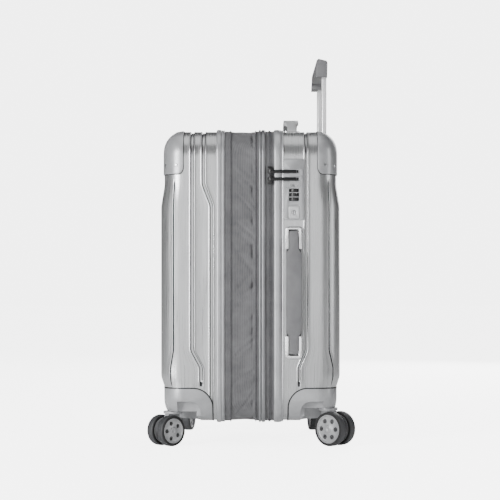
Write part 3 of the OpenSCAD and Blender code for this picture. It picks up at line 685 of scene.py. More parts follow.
class Line:
    """A pressed groove that runs up a tray: how far it lies from the face, up to its kink and beyond it."""

    def __init__(self, away_mm, width_mm, depth_mm, ends, kinks=()):
        self.away = away_mm
        self.half = width_mm / 2 * MM
        self.depth = depth_mm * MM
        self.low, self.high = ends
        self.kinks = kinks

    def away_at(self, z):
        """How far its middle lies from the face at a height."""
        away = np.full_like(z, self.away * MM)
        for z0, z1, other in self.kinks:
            away = away + (other * MM - self.away * MM) * np.clip((z - z0) / (z1 - z0), 0, 1)
        return away

    def cross(self, u):
        """The groove's depth at that distance from its middle: steep walls, a flat bottom, raised lips."""
        lip = np.exp(-(((np.abs(u) - self.half - 0.9 * MM) / (0.8 * MM)) ** 2))
        return self.depth * (smooth((self.half - np.abs(u)) / (1.5 * MM)) - 0.24 * lip)

    def stops(self):
        """Where a grid needs lines across the groove."""
        half_steps = [h * MM for h in (2.4, 1.6, 1.1, 0.7, 0.3, 0.0, -0.5, -1.0, -1.5)]
        out = [self.half + h for h in half_steps]
        return sorted({0.0, *out, *[-h for h in out]})

    def reach(self):
        """Half its width with its lips."""
        return self.half + 2.4 * MM

    def strength(self, z):
        """1 along the groove, fading to 0 at its ends."""
        soft = 5 * MM
        return smooth((z - self.low) / soft) * smooth((self.high - z) / soft)


KINK_HIGH = (Z_TOP - 94 * MM, Z_TOP - 131 * MM)
KINK_LOW = (Z_LOW + 123 * MM, Z_LOW + 94 * MM)
OVER_TOP = Z_TOP + 1.0
GROOVE_END = Z_LOW + 63 * MM
UNDER_GUARD = Z_TOP - 88 * MM


def bend(pair, other):
    """A kink between two heights, to another distance from the face."""
    return (pair[0], pair[1], other)


SIDE_LINES = {
    FRONT: [
        Line(75, 6.4, 2.3, (Z_LOW + 20 * MM, OVER_TOP), [bend(KINK_HIGH, 89)]),
        Line(55.5, 6.4, 2.3, (GROOVE_END, OVER_TOP), [bend(KINK_LOW, 71)]),
        Line(19.4, 3.2, 1.3, (GROOVE_END, UNDER_GUARD), [bend(KINK_LOW, 12)]),
    ],
    REAR: [
        Line(60, 5, 2.3, (GROOVE_END, OVER_TOP), [bend(KINK_LOW, 72)]),
        Line(15.2, 3.6, 1.5, (GROOVE_END, UNDER_GUARD), [bend(KINK_LOW, 5)]),
    ],
}
FACE_ENDS = (Z_LOW + 50 * MM, Z_TOP - 46 * MM)
FACE_LINES = [
    Line(44, 6.4, 2.3, FACE_ENDS),
    Line(112, 6.4, 2.3, FACE_ENDS, [bend(KINK_LOW, 124), bend(KINK_HIGH[::-1], 124)]),
]


def warped(nominal, marks, places):
    """Moves grid lines at nominal places so that each mark goes to its own place."""
    out = np.zeros_like(nominal) + places[0]
    for i in range(len(marks) - 1):
        t = np.clip((nominal - marks[i]) / (marks[i + 1] - marks[i]), 0, 1)
        out = out + t * (places[i + 1] - places[i])
    return out


class Tray:
    """One half of the case as a box whose faces are bent round its edges."""

    def __init__(self, side):
        low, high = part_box(SHELL_NODE[side])
        self.side = side
        self.face_y = high.y if side > 0 else low.y
        self.rim_y = low.y if side > 0 else high.y
        self.depth = abs(self.face_y - self.rim_y)
        self.lines = SIDE_LINES[side]

    def belt(self, z):
        """How much of the raised panel's rise there is at a height."""
        marks = [Z_LOW + 59 * MM, Z_LOW + 77 * MM, Z_TOP - 131 * MM, Z_TOP - 94 * MM]
        return sum(
            np.interp(z + k * MM, marks, [0, 1, 1, 0]) for k in (-2.5, -1.2, 0, 1.2, 2.5)
        ) / 5

    def surface(self, bx, bz, bd, off=0.0, plain=False):
        """Points for box places bx and bz from the middle, and bd, the depth from the rim."""
        x_half, z_half = X_SIDE + off, (Z_TOP - Z_LOW) / 2 + off
        rc, rf = CORNER_R + off, EDGE_R + off
        bx, bz, bd = (np.asarray(v, float) for v in np.broadcast_arrays(bx, bz, bd))
        z_world = bz + Z_MID
        deep = self.depth - BELT_RISE + off
        if not plain:
            deep = deep + BELT_RISE * self.belt(z_world)
        bd = np.minimum(bd, deep)
        cx, cz = np.clip(bx, rc - x_half, x_half - rc), np.clip(bz, rc - z_half, z_half - rc)
        ox, oz = bx - cx, bz - cz
        rho, turn = square_to_disc(np.abs(ox), np.abs(oz))
        nx, nz = np.sign(ox) * np.cos(turn), np.sign(oz) * np.sin(turn)
        nx, nz = np.where(rho > 0, nx, 0), np.where(rho > 0, nz, 0)
        flat = rc - rf
        over = np.clip(rho - flat, 0, rf)
        down = np.clip(bd - (deep - rf), 0, rf)
        m, tilt = square_to_disc(over, down)
        rho_new = np.minimum(rho, flat) + m * np.cos(tilt)
        d_new = np.minimum(bd, deep - rf) + m * np.sin(tilt)
        places = np.stack([cx + nx * rho_new, np.zeros_like(cx), cz + nz * rho_new], -1)
        places[..., 1] = self.rim_y + self.side * d_new
        places[..., 2] += Z_MID
        normal = np.stack(
            [nx * np.cos(tilt), self.side * np.sin(tilt) * np.ones_like(nx), nz * np.cos(tilt)], -1
        )
        return places, normal

    def columns(self, cell):
        """Nominal grid lines across the depth and across the width."""
        d_marks, x_marks = self.d_marks(), self.x_marks()
        ds, xs = set(), set()
        for line in self.lines:
            ds.update(round(self.depth - line.away * MM + s, 7) for s in line.stops())
        for line in FACE_LINES:
            for s in line.stops():
                xs.update({round(line.away * MM + s, 7), round(-line.away * MM - s, 7)})
        return filled(ds, d_marks, cell), filled(xs, x_marks, cell)

    def d_marks(self):
        """The fixed places of the depth's grid lines: both sides of each groove."""
        marks = [0.0]
        for line in self.lines:
            middle = self.depth - line.away * MM
            marks += [middle - line.reach(), middle + line.reach()]
        return marks + [self.depth]

    def x_marks(self):
        """The fixed places of the width's grid lines."""
        marks = []
        for line in FACE_LINES:
            marks += [line.away * MM - line.reach(), line.away * MM + line.reach()]
        return [-X_SIDE, *[-m for m in marks[::-1]], *marks, X_SIDE]

    def d_at(self, nominal, z):
        """The depth at which the nominal grid lines lie at a height, following the grooves."""
        places = [np.zeros_like(z)]
        for line in self.lines:
            middle = self.depth - line.away_at(z)
            places += [middle - line.reach(), middle + line.reach()]
        deep = self.depth - BELT_RISE + BELT_RISE * self.belt(z)
        # Where the raised panel ends, the lines beside the face are kept short of it, in their order.
        places = [np.minimum(p, deep - (len(places) - i) * MM) for i, p in enumerate(places)]
        return warped(nominal, self.d_marks(), places + [deep])

    def x_at(self, nominal, z):
        """The same across the width."""
        inner = []
        for line in FACE_LINES:
            away = line.away_at(z)
            inner += [away - line.reach(), away + line.reach()]
        edge = np.full_like(z, X_SIDE)
        return warped(nominal, self.x_marks(), [-edge, *[-p for p in inner[::-1]], *inner, edge])

    def pressed(self, nominal_d, nominal_x, z, on_face):
        """How deep the grooves are pressed at grid places."""
        deep = np.zeros(np.broadcast_shapes(nominal_d.shape, nominal_x.shape, z.shape))
        if on_face:
            for line in FACE_LINES:
                deep = deep + line.cross(np.abs(nominal_x) - line.away * MM) * line.strength(z)
            return deep
        for line in self.lines:
            u = nominal_d - (self.depth - line.away * MM)
            deep = deep + line.cross(u) * line.strength(z)
        return deep


def filled(stops, marks, cell):
    """Grid lines at all stops and marks, with even ones between them."""
    fixed = sorted(set(round(m, 7) for m in marks) | set(stops))
    out = [fixed[0]]
    for a, b in zip(fixed, fixed[1:]):
        n = max(1, round((b - a) / cell))
        out += [a + (b - a) * (i + 1) / n for i in range(n)]
    return np.array(out)


def grid_faces(rows, cols, start, flip=False):
    """The quads of a grid of points that are numbered row by row."""
    i, j = np.meshgrid(np.arange(rows - 1), np.arange(cols - 1), indexing="ij")
    a = start + i * cols + j
    quad = np.stack([a, a + 1, a + cols + 1, a + cols], -1).reshape(-1, 4)
    return quad[:, ::-1] if flip else quad


def tray_skin(tray, cell, off=0.0, grooves=True, plain=False):
    """The outer skin of a tray as grids over the five faces of its box: points and faces."""
    ds, xs = tray.columns(cell) if grooves else (
        np.linspace(0, tray.depth, max(4, int(tray.depth / cell))),
        np.linspace(-X_SIDE, X_SIDE, int(2 * X_SIDE / cell)),
    )
    half = (Z_TOP - Z_LOW) / 2
    zs = np.linspace(-half, half, int(2 * half / cell) + 1)
    grow_x, grow_z = (X_SIDE + off) / X_SIDE, (half + off) / half
    points, faces, sheet, press, count = [], [], [], [], 0

    def patch(bx, bz, nominal_d, nominal_x, on_face, on_end=False):
        nonlocal count
        bx, bz, nd, nx = np.broadcast_arrays(bx, bz, nominal_d, nominal_x)
        z = bz + Z_MID
        d = tray.d_at(nd, z) if grooves else nd * (tray.depth + off) / tray.depth
        d = np.where(nd >= tray.depth - 1e-9, 1.0, d)
        places, normal = tray.surface(bx * grow_x, bz * grow_z, d, off, plain)
        deep = tray.pressed(nd, nx, z, on_face) if grooves else 0 * z
        places = places - normal * deep[..., None]
        # How deep each place is pressed, from 0 to 1. The shell film reads it for its painted shade in the
        # grooves.
        press.append(np.stack([np.clip(deep / (2.3 * MM), 0, 1), 0 * deep], -1).reshape(-1, 2))
        rows, cols = places.shape[:2]
        points.append(places.reshape(-1, 3))
        faces.append(grid_faces(rows, cols, count))
        across = bx if on_face else nd + 0.5
        sheet.append(np.stack([across, bx + 2.0 if on_end else bz], -1).reshape(-1, 2))
        count += rows * cols

    z_col, d_row = zs[:, None], ds[None, :]
    for s in (LEFT, RIGHT):
        patch(np.full((len(zs), 1), s * X_SIDE), z_col, d_row, np.full((1, 1), s * X_SIDE), False)
    for s in (-1, 1):
        z_end = np.full((len(xs), 1), s * half)
        x_col = xs[:, None]
        at = tray.x_at(x_col, z_end + Z_MID) if grooves else x_col
        patch(at, z_end, d_row, x_col, False, True)
    x_row = np.broadcast_to(xs[None, :], (len(zs), len(xs)))
    at = tray.x_at(x_row, np.broadcast_to(z_col, x_row.shape) + Z_MID) if grooves else x_row
    patch(at, z_col, np.full((1, 1), tray.depth), x_row, True)
    return [np.concatenate(part) for part in (points, faces, sheet, press)]


def housing_cutter(side, right, grow):
    """The corner of a half that its wheel housing fills, as a closed solid."""
    low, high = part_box(HALF[side] + "_wheel_housings")
    top = high.z + grow
    inner_y = (low.y if side > 0 else high.y) - side * grow
    radius = 33 * MM + grow
    inner_x = HOUSING_INNER_X - grow
    arch = [
        (math.cos(t), math.sin(t)) for t in np.linspace(math.pi / 2, math.pi, 20)
    ]
    far = 60 * MM
    outer_y = (high.y if side > 0 else low.y) + side * far
    seen = [(outer_y, Z_LOW - far), (outer_y, top)]
    seen += [(inner_y + side * radius + side * radius * c, top - radius + radius * s) for c, s in arch]
    seen += [(inner_y, Z_LOW - far)]
    sidewise = prism(seen, 0, 0.0, X_SIDE + far)
    ahead = [(X_SIDE + far, Z_LOW - far), (X_SIDE + far, top)]
    ahead += [(inner_x + radius + radius * c, top - radius + radius * s) for c, s in arch]
    ahead += [(inner_x, Z_LOW - far)]
    y_ends = sorted((inner_y - side * far, outer_y + side * far))
    other = prism(ahead, 1, *y_ends)
    both = cut(sidewise, [other], operation="INTERSECT")
    if right < 0:
        both.data.transform(Matrix.Diagonal((-1, 1, 1, 1)))
        both.data.flip_normals()
    return both


HOUSING_INNER_X = X_SIDE - 95.1 * MM


def outline(step, corner_steps):
    """Samples round the case: the corner centre each belongs to, its outward direction and its distance."""
    x, z = X_SIDE - CORNER_R, (Z_TOP - Z_LOW) / 2 - CORNER_R
    centres, outward = [], []
    for cx, cz, start in ((x, z, 0), (-x, z, 90), (-x, -z, 180), (x, -z, 270)):
        for i in range(corner_steps + 1):
            t = math.radians(start + 90 * i / corner_steps)
            centres.append((cx, cz))
            outward.append((math.cos(t), math.sin(t)))
        nx, nz = {0: (-x, z), 90: (-x, -z), 180: (x, -z), 270: (x, z)}[start]
        gap = math.hypot(nx - cx, nz - cz)
        n = max(1, int(gap / step))
        for i in range(1, n):
            centres.append((cx + (nx - cx) * i / n, cz + (nz - cz) * i / n))
            outward.append(outward[-1])
    centres, outward = np.array(centres), np.array(outward)
    flat = centres + outward * CORNER_R
    along = np.concatenate([[0], np.cumsum(np.linalg.norm(np.diff(flat, axis=0), axis=1))])
    return centres, outward, along


def ring(name, section, finish, sharp=40.0, step=25 * MM, corner_steps=14):
    """Sweeps a closed section, points of (y, distance outside the case's outline), round the case."""
    centres, outward, _ = outline(step, corner_steps)
    n, m = len(centres), len(section)
    points = np.zeros((n, m, 3))
    for j, (y, out) in enumerate(section):
        flat = centres + outward * (CORNER_R + out)
        points[:, j, 0], points[:, j, 1], points[:, j, 2] = flat[:, 0], y, flat[:, 1] + Z_MID
    faces = []
    for i in range(n):
        k = (i + 1) % n
        for j in range(m):
            faces.append((i * m + j, i * m + (j + 1) % m, k * m + (j + 1) % m, k * m + j))
    made = mesh_object(name, points.reshape(-1, 3), faces, finish, sharp)
    return tidied(made, sharp=sharp)


def frame_section(y0, y1, outer, lip):
    """A frame's closed section: its outer profile in mm, and a lip over the shell's edge."""
    span = outer[-1][0]
    section = [(y0 + (y1 - y0) * a / span, b * MM) for a, b in outer]
    thick = 2 * MM if y1 > y0 else -2 * MM
    if lip:
        section += [(y1, -3.8 * MM), (y1 - thick, -3.8 * MM), (y1 - thick, 0.15 * MM)]
    else:
        section += [(y1, -1.8 * MM), (y0, -1.8 * MM)]
        return section
    return section + [(y0, 0.15 * MM)]


# ---------- geometry nodes ----------


def repeated(name, path, finish, item, pitch, across):
    """Puts one item at even steps round a closed path with a node tree, and returns the plain mesh."""
    mesh = bpy.data.meshes.new(name)
    n = len(path)
    edges = [(i, (i + 1) % n) for i in range(n)]
    mesh.from_pydata([tuple(p) for p in path], edges, [])
    made = bpy.data.objects.new(name, mesh)
    bpy.context.scene.collection.objects.link(made)
    tree = path_tree(name + "_tree", finish, item)
    modifier = made.modifiers.new("repeat", "NODES")
    modifier.node_group = tree
    for label, value in (("Pitch", pitch), ("Across", across)):
        modifier[input_of(tree, label)] = value
    bpy.context.view_layer.update()
    shown = made.evaluated_get(bpy.context.evaluated_depsgraph_get())
    result = bpy.data.meshes.new_from_object(shown)
    made.modifiers.clear()
    made.data = result
    if not len(result.polygons):
        raise RuntimeError(f"{name}: the node tree made nothing")
    shade(made)
    return made


def input_of(tree, label):
    """The identifier of a tree's named input."""
    for item in tree.interface.items_tree:
        if item.item_type == "SOCKET" and item.in_out == "INPUT" and item.name == label:
            return item.identifier
    raise RuntimeError(f"the tree has no input named {label}")


def path_tree(name, finish, item):
    """A tree that puts a small block at each step of a path, its width across and its top outwards."""
    tree = bpy.data.node_groups.new(name, "GeometryNodeTree")
    face = tree.interface
    face.new_socket("Geometry", in_out="INPUT", socket_type="NodeSocketGeometry")
    pitch = face.new_socket("Pitch", in_out="INPUT", socket_type="NodeSocketFloat")
    pitch.default_value = 2.5 * MM
    size = face.new_socket("Size", in_out="INPUT", socket_type="NodeSocketVector")
    size.default_value = item
    across = face.new_socket("Across", in_out="INPUT", socket_type="NodeSocketVector")
    across.default_value = (0, 1, 0)
    face.new_socket("Geometry", in_out="OUTPUT", socket_type="NodeSocketGeometry")
    enter = add(tree, "NodeGroupInput")
    curve = add(tree, "GeometryNodeMeshToCurve", sockets={"Mesh": (enter, "Geometry")})
    steps = add(
        tree,
        "GeometryNodeResampleCurve",
        {"mode": "LENGTH"},
        {"Curve": (curve, "Curve"), "Length": (enter, "Pitch")},
    )
    tangent = add(tree, "GeometryNodeInputTangent")
    turn = add(
        tree,
        "FunctionNodeAlignRotationToVector",
        {"axis": "X"},
        {"Vector": (tangent, "Tangent")},
    )
    turn = add(
        tree,
        "FunctionNodeAlignRotationToVector",
        {"axis": "Y", "pivot_axis": "X"},
        {"Rotation": (turn, "Rotation"), "Vector": (enter, "Across")},
    )
    block = add(tree, "GeometryNodeMeshCube", sockets={"Size": (enter, "Size")})
    put = add(
        tree,
        "GeometryNodeInstanceOnPoints",
        sockets={
            "Points": (steps, "Curve"),
            "Instance": (block, "Mesh"),
            "Rotation": (turn, "Rotation"),
        },
    )
    real = add(tree, "GeometryNodeRealizeInstances", sockets={"Geometry": (put, "Instances")})
    paint = add(
        tree,
        "GeometryNodeSetMaterial",
        sockets={"Geometry": (real, "Geometry"), "Material": finish_of(finish)},
    )
    leave = add(tree, "NodeGroupOutput")
    tree.links.new(paint.outputs["Geometry"], leave.inputs["Geometry"])
    return tree


# ---------- the case ----------


def make_shell(side, settings):
    """A moulded shell: pressed grooves, a raised panel, and openings for what goes through it."""
    tray = Tray(side)
    points, faces, sheet, press = tray_skin(tray, settings.cell)
    name = HALF[side] + "_shell_skin"
    shell = mesh_object(name, points, faces, "shell")
    # The film's hairlines run along the sheet that the shell was formed from: u across, v along.
    corners = np.empty(len(shell.data.loops), dtype=np.int32)
    shell.data.loops.foreach_get("vertex_index", corners)
    # The groove map carries the pressing depth, which drives the film's painted shade in the grooves.
    for layer, values in (("sheet", sheet), ("groove", press)):
        shell.data.uv_layers.new(name=layer).data.foreach_set("uv", values[corners].ravel())
    tidied(shell, 0.02 * MM)
    applied(
        shell,
        ("SOLIDIFY", {"thickness": settings.wall, "offset": -1.0, "use_even_offset": True}),
    )
    cutters = [housing_cutter(side, s, 1.2 * MM) for s in (RIGHT, LEFT)]
    if side > 0:
        cutters += rear_openings()
    cut(shell, cutters)
    tidied(shell, 0.005 * MM, outward=False)
    return settle(shell, BODY[side], [SHELL_NODE[side]])


def rear_openings():
    """The holes in the rear shell for the lock, the two handle dishes and the pull handle's cup."""
    low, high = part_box("lock_body")
    deep = 30 * MM
    lock = prism(
        rounded_points(low.y + MM, high.y - MM, low.z + MM, high.z - MM, 3 * MM),
        0, X_SIDE - deep, X_SIDE + deep,
    )
    middle, half_w, half_l = handle_place("side")
    side = prism(
        rounded_points(
            middle.y - half_w + 2 * MM, middle.y + half_w - 2 * MM,
            middle.z - half_l + 4 * MM, middle.z + half_l - 4 * MM, 6 * MM,
        ),
        0, X_SIDE - deep, X_SIDE + deep,
    )
    middle, half_w, half_l = handle_place("top")
    top = prism(
        rounded_points(
            -half_l + 4 * MM, half_l - 4 * MM,
            middle.y - half_w + 2 * MM, middle.y + half_w - 2 * MM, 6 * MM,
        ),
        2, Z_TOP - deep, Z_TOP + deep,
    )
    low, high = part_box("trolley_bezel")
    cup = prism(
        [(low.x, low.y), (high.x, low.y), (high.x, high.y), (low.x, high.y)],
        2, low.z, Z_TOP + deep,
    )
    return [lock, side, top, cup]


def handle_place(which):
    """The middle, half width and half length of a carry handle's base."""
    if which == "side":
        low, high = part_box("side_handle_grip")
        half_l = (high.z - low.z) / 2 + 9 * MM
    else:
        low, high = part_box("top_handle_grip")
        half_l = (high.x - low.x) / 2 + 9 * MM
    return (low + high) / 2, 15.5 * MM, half_l


FRAME_PROFILES = {
    "front_rim_frame": [
        (0, 0.3), (0.3, 2.4), (1.2, 3.6), (3, 4.0), (7.4, 3.7), (8.5, 3.2), (9.0, 2.2), (9.6, 2.2),
        (10.0, 3.1), (11.5, 3.3), (12.1, 2.3), (12.7, 2.3), (13.2, 3.1), (14.0, 2.9), (14.5, 1.8),
    ],
    "middle_frame": [
        (0, 0.8), (0.4, 2.6), (1.2, 3.6), (2.6, 3.9), (3.8, 3.3), (4.2, 2.0), (5.0, 2.0),
        (5.4, 3.1), (6.5, 3.8), (9.5, 3.8), (11, 3.2), (11.6, 2.4), (12, 0.8),
    ],
    "rear_rim_frame": [
        (0, 0.3), (0.2, 2.0), (0.6, 2.9), (1.2, 2.9), (1.8, 2.2), (2.4, 2.2), (3.4, 3.4), (9, 4.0),
        (14.4, 3.8), (15.6, 3.3), (16.5, 2.0), (17, 1.2),
    ],
}


def make_frames():
    """The two rim frames and the middle frame, swept round the case."""
    for node, body in (
        ("front_rim_frame", "front_case"),
        ("middle_frame", "mid_frame"),
        ("rear_rim_frame", "rear_case"),
    ):
        low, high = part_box(node)
        profile = FRAME_PROFILES[node]
        if node == "rear_rim_frame":
            section = frame_section(high.y, low.y, profile, True)
        else:
            section = frame_section(low.y, high.y, profile, node == "front_rim_frame")
        finish = "middle_frame" if node == "middle_frame" else "frame"
        settle(ring(node + "_bar", section, finish, sharp=50), body, [node])


TAPES = [
    # node, body, the side that its teeth are on, the pitch of its teeth in mm
    ("main_zip_rear_tape", "rear_case", -1, 2.6),
    ("main_zip_front_tape", "mid_frame", 1, 2.6),
    ("expansion_zip_rear_tape", "mid_frame", -1, 2.2),
    ("expansion_zip_front_tape", "front_case", 1, 2.2),
]


def make_zips():
    """Zip tapes with a woven edge, and their coil of teeth."""
    for node, body, side, pitch in TAPES:
        low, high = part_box(node)
        edge, back = (high.y, low.y) if side > 0 else (low.y, high.y)
        inward = -side
        section = [
            (back, 0.05 * MM), (back, 1.25 * MM),
            (edge + inward * 2.2 * MM, 1.0 * MM), (edge + inward * 1.9 * MM, 1.5 * MM),
            (edge + inward * 0.9 * MM, 1.7 * MM), (edge, 1.4 * MM), (edge, 0.05 * MM),
        ]
        kind = "tape" if node.startswith("main") else "expansion_tape"
        tape = ring(node + "_weave", section, kind, sharp=60)
        settle(tape, body, [node])
        centres, outward, _ = outline(12 * MM, 12)
        flat = centres + outward * (CORNER_R + 1.95 * MM)
        y = edge + inward * 0.85 * MM
        path = [(p[0], y, p[1] + Z_MID) for p in flat]
        teeth = repeated(
            node + "_teeth", path, "teeth",
            (pitch * 0.52 * MM, 1.7 * MM, 1.2 * MM), pitch * MM, (0, 1, 0),
        )
        settle(teeth, body, [])
    for node in ("zip_sliders", "zip_pull_upper", "zip_pull_lower"):
        softened(node, "black_metal", 0.35)
    for node in ("zip_pull_upper", "zip_pull_lower"):
        low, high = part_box(node)
        knob = lathe(
            node + "_eye",
            [(0.0, -1.4 * MM), (2.3 * MM, -1.4 * MM), (3.2 * MM, -0.7 * MM), (3.4 * MM, 0.2 * MM),
             (2.7 * MM, 1.1 * MM), (1.2 * MM, 1.5 * MM), (0.0, 1.5 * MM)],
            "black_metal", 32,
        )
        place = Vector((high.x - 1.6 * MM, low.y + 2.6 * MM, (low.z + high.z) / 2))
        knob.data.transform(Matrix.Translation(place) @ Matrix.Rotation(math.pi / 2, 4, "Y"))
        settle(knob, NODES[node]["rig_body"], [])


GUSSET_STEP = 2.6 * MM
GUSSET_ROWS = 30
FOLD_SEED = 11
TUCK_COUNT = 44
# The cloth is caught at the expansion zip's rear half: how far across, from 0 at the front to 1.
TUCK_LINE = 0.9


def gusset_relief(settings, s, t, upper, loop, width):
    """How far the cloth lies outside its neat shape at places s along the loop and t across it."""
    rng = np.random.default_rng(FOLD_SEED)
    folds, tucks = np.zeros_like(s), np.zeros_like(s)
    for start in np.arange(0, loop, settings.fold_pitch):
        start = start + rng.uniform(-0.4, 0.4) * settings.fold_pitch
        slant, wide = rng.uniform(0.3, 1.6), rng.uniform(2.5, 7.0) * MM
        deep = rng.uniform(0.0, 1.0) ** 1.6
        off = (s - start + upper * slant * width * (t - TUCK_LINE) + loop / 2) % loop - loop / 2
        beside = (off - 1.9 * wide) / wide
        folds += deep * (np.exp(-((off / wide) ** 2)) - 0.6 * np.exp(-(beside**2)))
    for start in rng.uniform(0, loop, TUCK_COUNT):
        off = (s - start + upper * 0.9 * width * (t - TUCK_LINE) + loop / 2) % loop - loop / 2
        size, deep = rng.uniform(2, 9) * MM, rng.uniform(0.35, 1.0)
        caught = np.exp(-(((t - TUCK_LINE) / 0.055) ** 2))
        tucks += deep * np.exp(-((off / size) ** 2)) * caught
    held = smooth(t / 0.25) * smooth((1 - t) / 0.09)
    away = (
        -settings.slack * np.sin(math.pi * t)
        - settings.crease * folds * held * (0.35 + 0.65 * t)
        - settings.tuck * np.clip(tucks, 0, 1) * smooth((1 - t) / 0.05)
    )
    return np.clip(away, -7 * MM, 1.6 * MM)


def make_gusset(settings):
    """The fold-out fabric between the two expansion zips: slack, with slanting creases and tucked edges."""
    low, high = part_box("expansion_gusset")
    width = high.y - low.y
    centres, outward, along = outline(GUSSET_STEP, 26)
    n, m = len(centres), GUSSET_ROWS
    loop = along[-1] + GUSSET_STEP
    t = np.linspace(0, 1, m)[None, :]
    s = along[:, None] + 0 * t
    # Folds slant down towards the rear in the upper half, and up towards it in the lower one.
    upper = np.sign(centres[:, 1])[:, None] * np.sign(centres[:, 0] + 1e-6)[:, None]
    away = gusset_relief(settings, s, t, upper, loop, width)
    outer = np.zeros((n, m, 3))
    for i in range(m):
        flat = centres + outward * (CORNER_R + 0.4 * MM + away[:, i])[:, None]
        outer[:, i, 0], outer[:, i, 2] = flat[:, 0], flat[:, 1] + Z_MID
    outer[:, :, 1] = low.y + width * t
    faces = [
        (i * m + j, i * m + j + 1, ((i + 1) % n) * m + j + 1, ((i + 1) % n) * m + j)
        for i in range(n)
        for j in range(m - 1)
    ]
    cloth = mesh_object("expansion_gusset_cloth", outer.reshape(-1, 3), faces, "gusset", 70)
    tidied(cloth, 0.02 * MM, sharp=70)
    applied(cloth, ("SOLIDIFY", {"thickness": 0.7 * MM, "offset": -1.0}), sharp=70)
    settle(cloth, "front_case", ["expansion_gusset"])
    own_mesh(cloth)


def make_hinge():
    """The fabric hinge inside the left side: sewn to the middle frame, and past the seam to the rear."""
    low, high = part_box("hinge_fabric")
    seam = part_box("main_zip_front_tape")[1].y
    end = seam + 11 * MM
    strip = strip_mesh("hinge_fabric_cloth", low, Vector((high.x, end, high.z)), seam, "tape")
    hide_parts("hinge_fabric")
    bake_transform(strip)


def strip_mesh(name, low, high, seam, finish):
    """A thin upright strip of cloth with a slight ripple, which lies further in beyond the seam."""
    ys = np.linspace(low.y, high.y, 21)
    zs = np.linspace(low.z, high.z, 160)
    x = (low.x + high.x) / 2 + 0.25 * MM * np.sin(zs[:, None] * 190) * np.sin(ys[None, :] * 300)
    x = x + 2.4 * MM * smooth((ys[None, :] - seam + 5 * MM) / (6 * MM))
    points = np.stack(np.broadcast_arrays(x, ys[None, :], zs[:, None]), -1).reshape(-1, 3)
    strip = mesh_object(name, points, grid_faces(len(zs), len(ys), 0), finish, 70)
    return applied(strip, ("SOLIDIFY", {"thickness": 0.7 * MM, "offset": 0.0}), sharp=70)


def guard_patch(tray, right, grow, off):
    """The skin of one corner guard: three grids that meet at the corner, with rounded free corners."""
    z_reach, x_reach, inner = 76 * MM + grow, 64 * MM + grow, 33.5 * MM + grow
    half = (Z_TOP - Z_LOW) / 2
    deep = tray.depth - BELT_RISE
    d1 = deep - inner
    n = 26

    def rounded_corner(u, v, r):
        """u and v are distances from a patch's two free edges; its corner becomes an arc of radius r."""
        a, b = np.clip(r - u, 0, r), np.clip(r - v, 0, r)
        big, turn = square_to_disc(a, b)
        inside = (u < r) & (v < r)
        return (
            np.where(inside, r - big * np.cos(turn), u),
            np.where(inside, r - big * np.sin(turn), v),
        )

    t = np.linspace(0, 1, n)
    u, v = np.meshgrid(t, t, indexing="ij")
    points, faces, count = [], [], 0
    for kind in ("side", "top", "face"):
        if kind == "side":
            a, b = rounded_corner(u * z_reach, v * (inner + off), 12 * MM)
            bx, bd = np.full_like(a, X_SIDE + off), d1 + b
            bz = half - z_reach + a * (z_reach + off) / z_reach
        elif kind == "top":
            a, b = rounded_corner(u * x_reach, v * (inner + off), 12 * MM)
            bz, bd = np.full_like(a, half + off), d1 + b
            bx = X_SIDE - x_reach + a * (x_reach + off) / x_reach
        else:
            a, b = rounded_corner(u * x_reach, v * z_reach, 22 * MM)
            bx = X_SIDE - x_reach + a * (x_reach + off) / x_reach
            bz = half - z_reach + b * (z_reach + off) / z_reach
            bd = np.full_like(a, 1.0)
        places, _ = tray.surface(bx * right, bz, bd, off, plain=True)
        points.append(places.reshape(-1, 3))
        faces.append(grid_faces(n, n, count))
        count += n * n
    return np.concatenate(points), np.concatenate(faces)


def make_guards():
    """Moulded corner guards with rounded rims, black seats under them as painted shadow along their edges,
    and their domed rivets.
    """
    for side in (FRONT, REAR):
        tray = Tray(side)
        halves, seats = [], []
        for right in (RIGHT, LEFT):
            # A black sheet a little wider than each guard lies under it: painted shadow along the guard's
            # free edges.
            points, faces = guard_patch(tray, right, 1.3 * MM, 0.9 * MM)
            seat = tidied(mesh_object("seat", points, faces, "piping", 60), 0.02 * MM, sharp=60)
            applied(seat, ("SOLIDIFY", {"thickness": 0.8 * MM, "offset": -1.0}), sharp=60)
            seats.append(seat)
            points, faces = guard_patch(tray, right, 0.0, 1.8 * MM)
            guard = mesh_object("guard", points, faces, "guard", 60)
            tidied(guard, 0.02 * MM, sharp=60)
            applied(
                guard,
                ("SOLIDIFY", {"thickness": 1.7 * MM, "offset": -1.0}),
                ("BEVEL", {"width": 0.7 * MM, "segments": 3, "limit_method": "ANGLE",
                           "angle_limit": math.radians(60)}),
                sharp=60,
            )
            halves.append(guard)
        name = HALF[side] + "_corner_guards"
        settle(joined(name + "_moulding", halves), BODY[side], [name])
        settle(joined(name + "_seats", seats), BODY[side], [])
        softened(HALF[side] + "_guard_rivets", "steel", 0.15)


def make_housings():
    """The moulded wheel housings, and the piping between them and the shells."""
    for side in (FRONT, REAR):
        softened(HALF[side] + "_wheel_housings", "housing", 0.8, steps=3)
        softened(HALF[side] + "_housing_gaskets", "piping", 0.4)


# ---------- casters ----------


def lathe(name, profile, finish, steps=64):
    """Turns a closed profile of (radius, height) points round z."""
    n = len(profile)
    points, faces = [], []
    for i in range(steps):
        a = 2 * math.pi * i / steps
        points += [(r * math.cos(a), r * math.sin(a), h) for r, h in profile]
    for i in range(steps):
        k = (i + 1) % steps
        for j in range(n):
            q = (j + 1) % n
            faces.append((i * n + j, k * n + j, k * n + q, i * n + q))
    made = mesh_object(name, points, faces, finish)
    return tidied(made, 0.005 * MM)


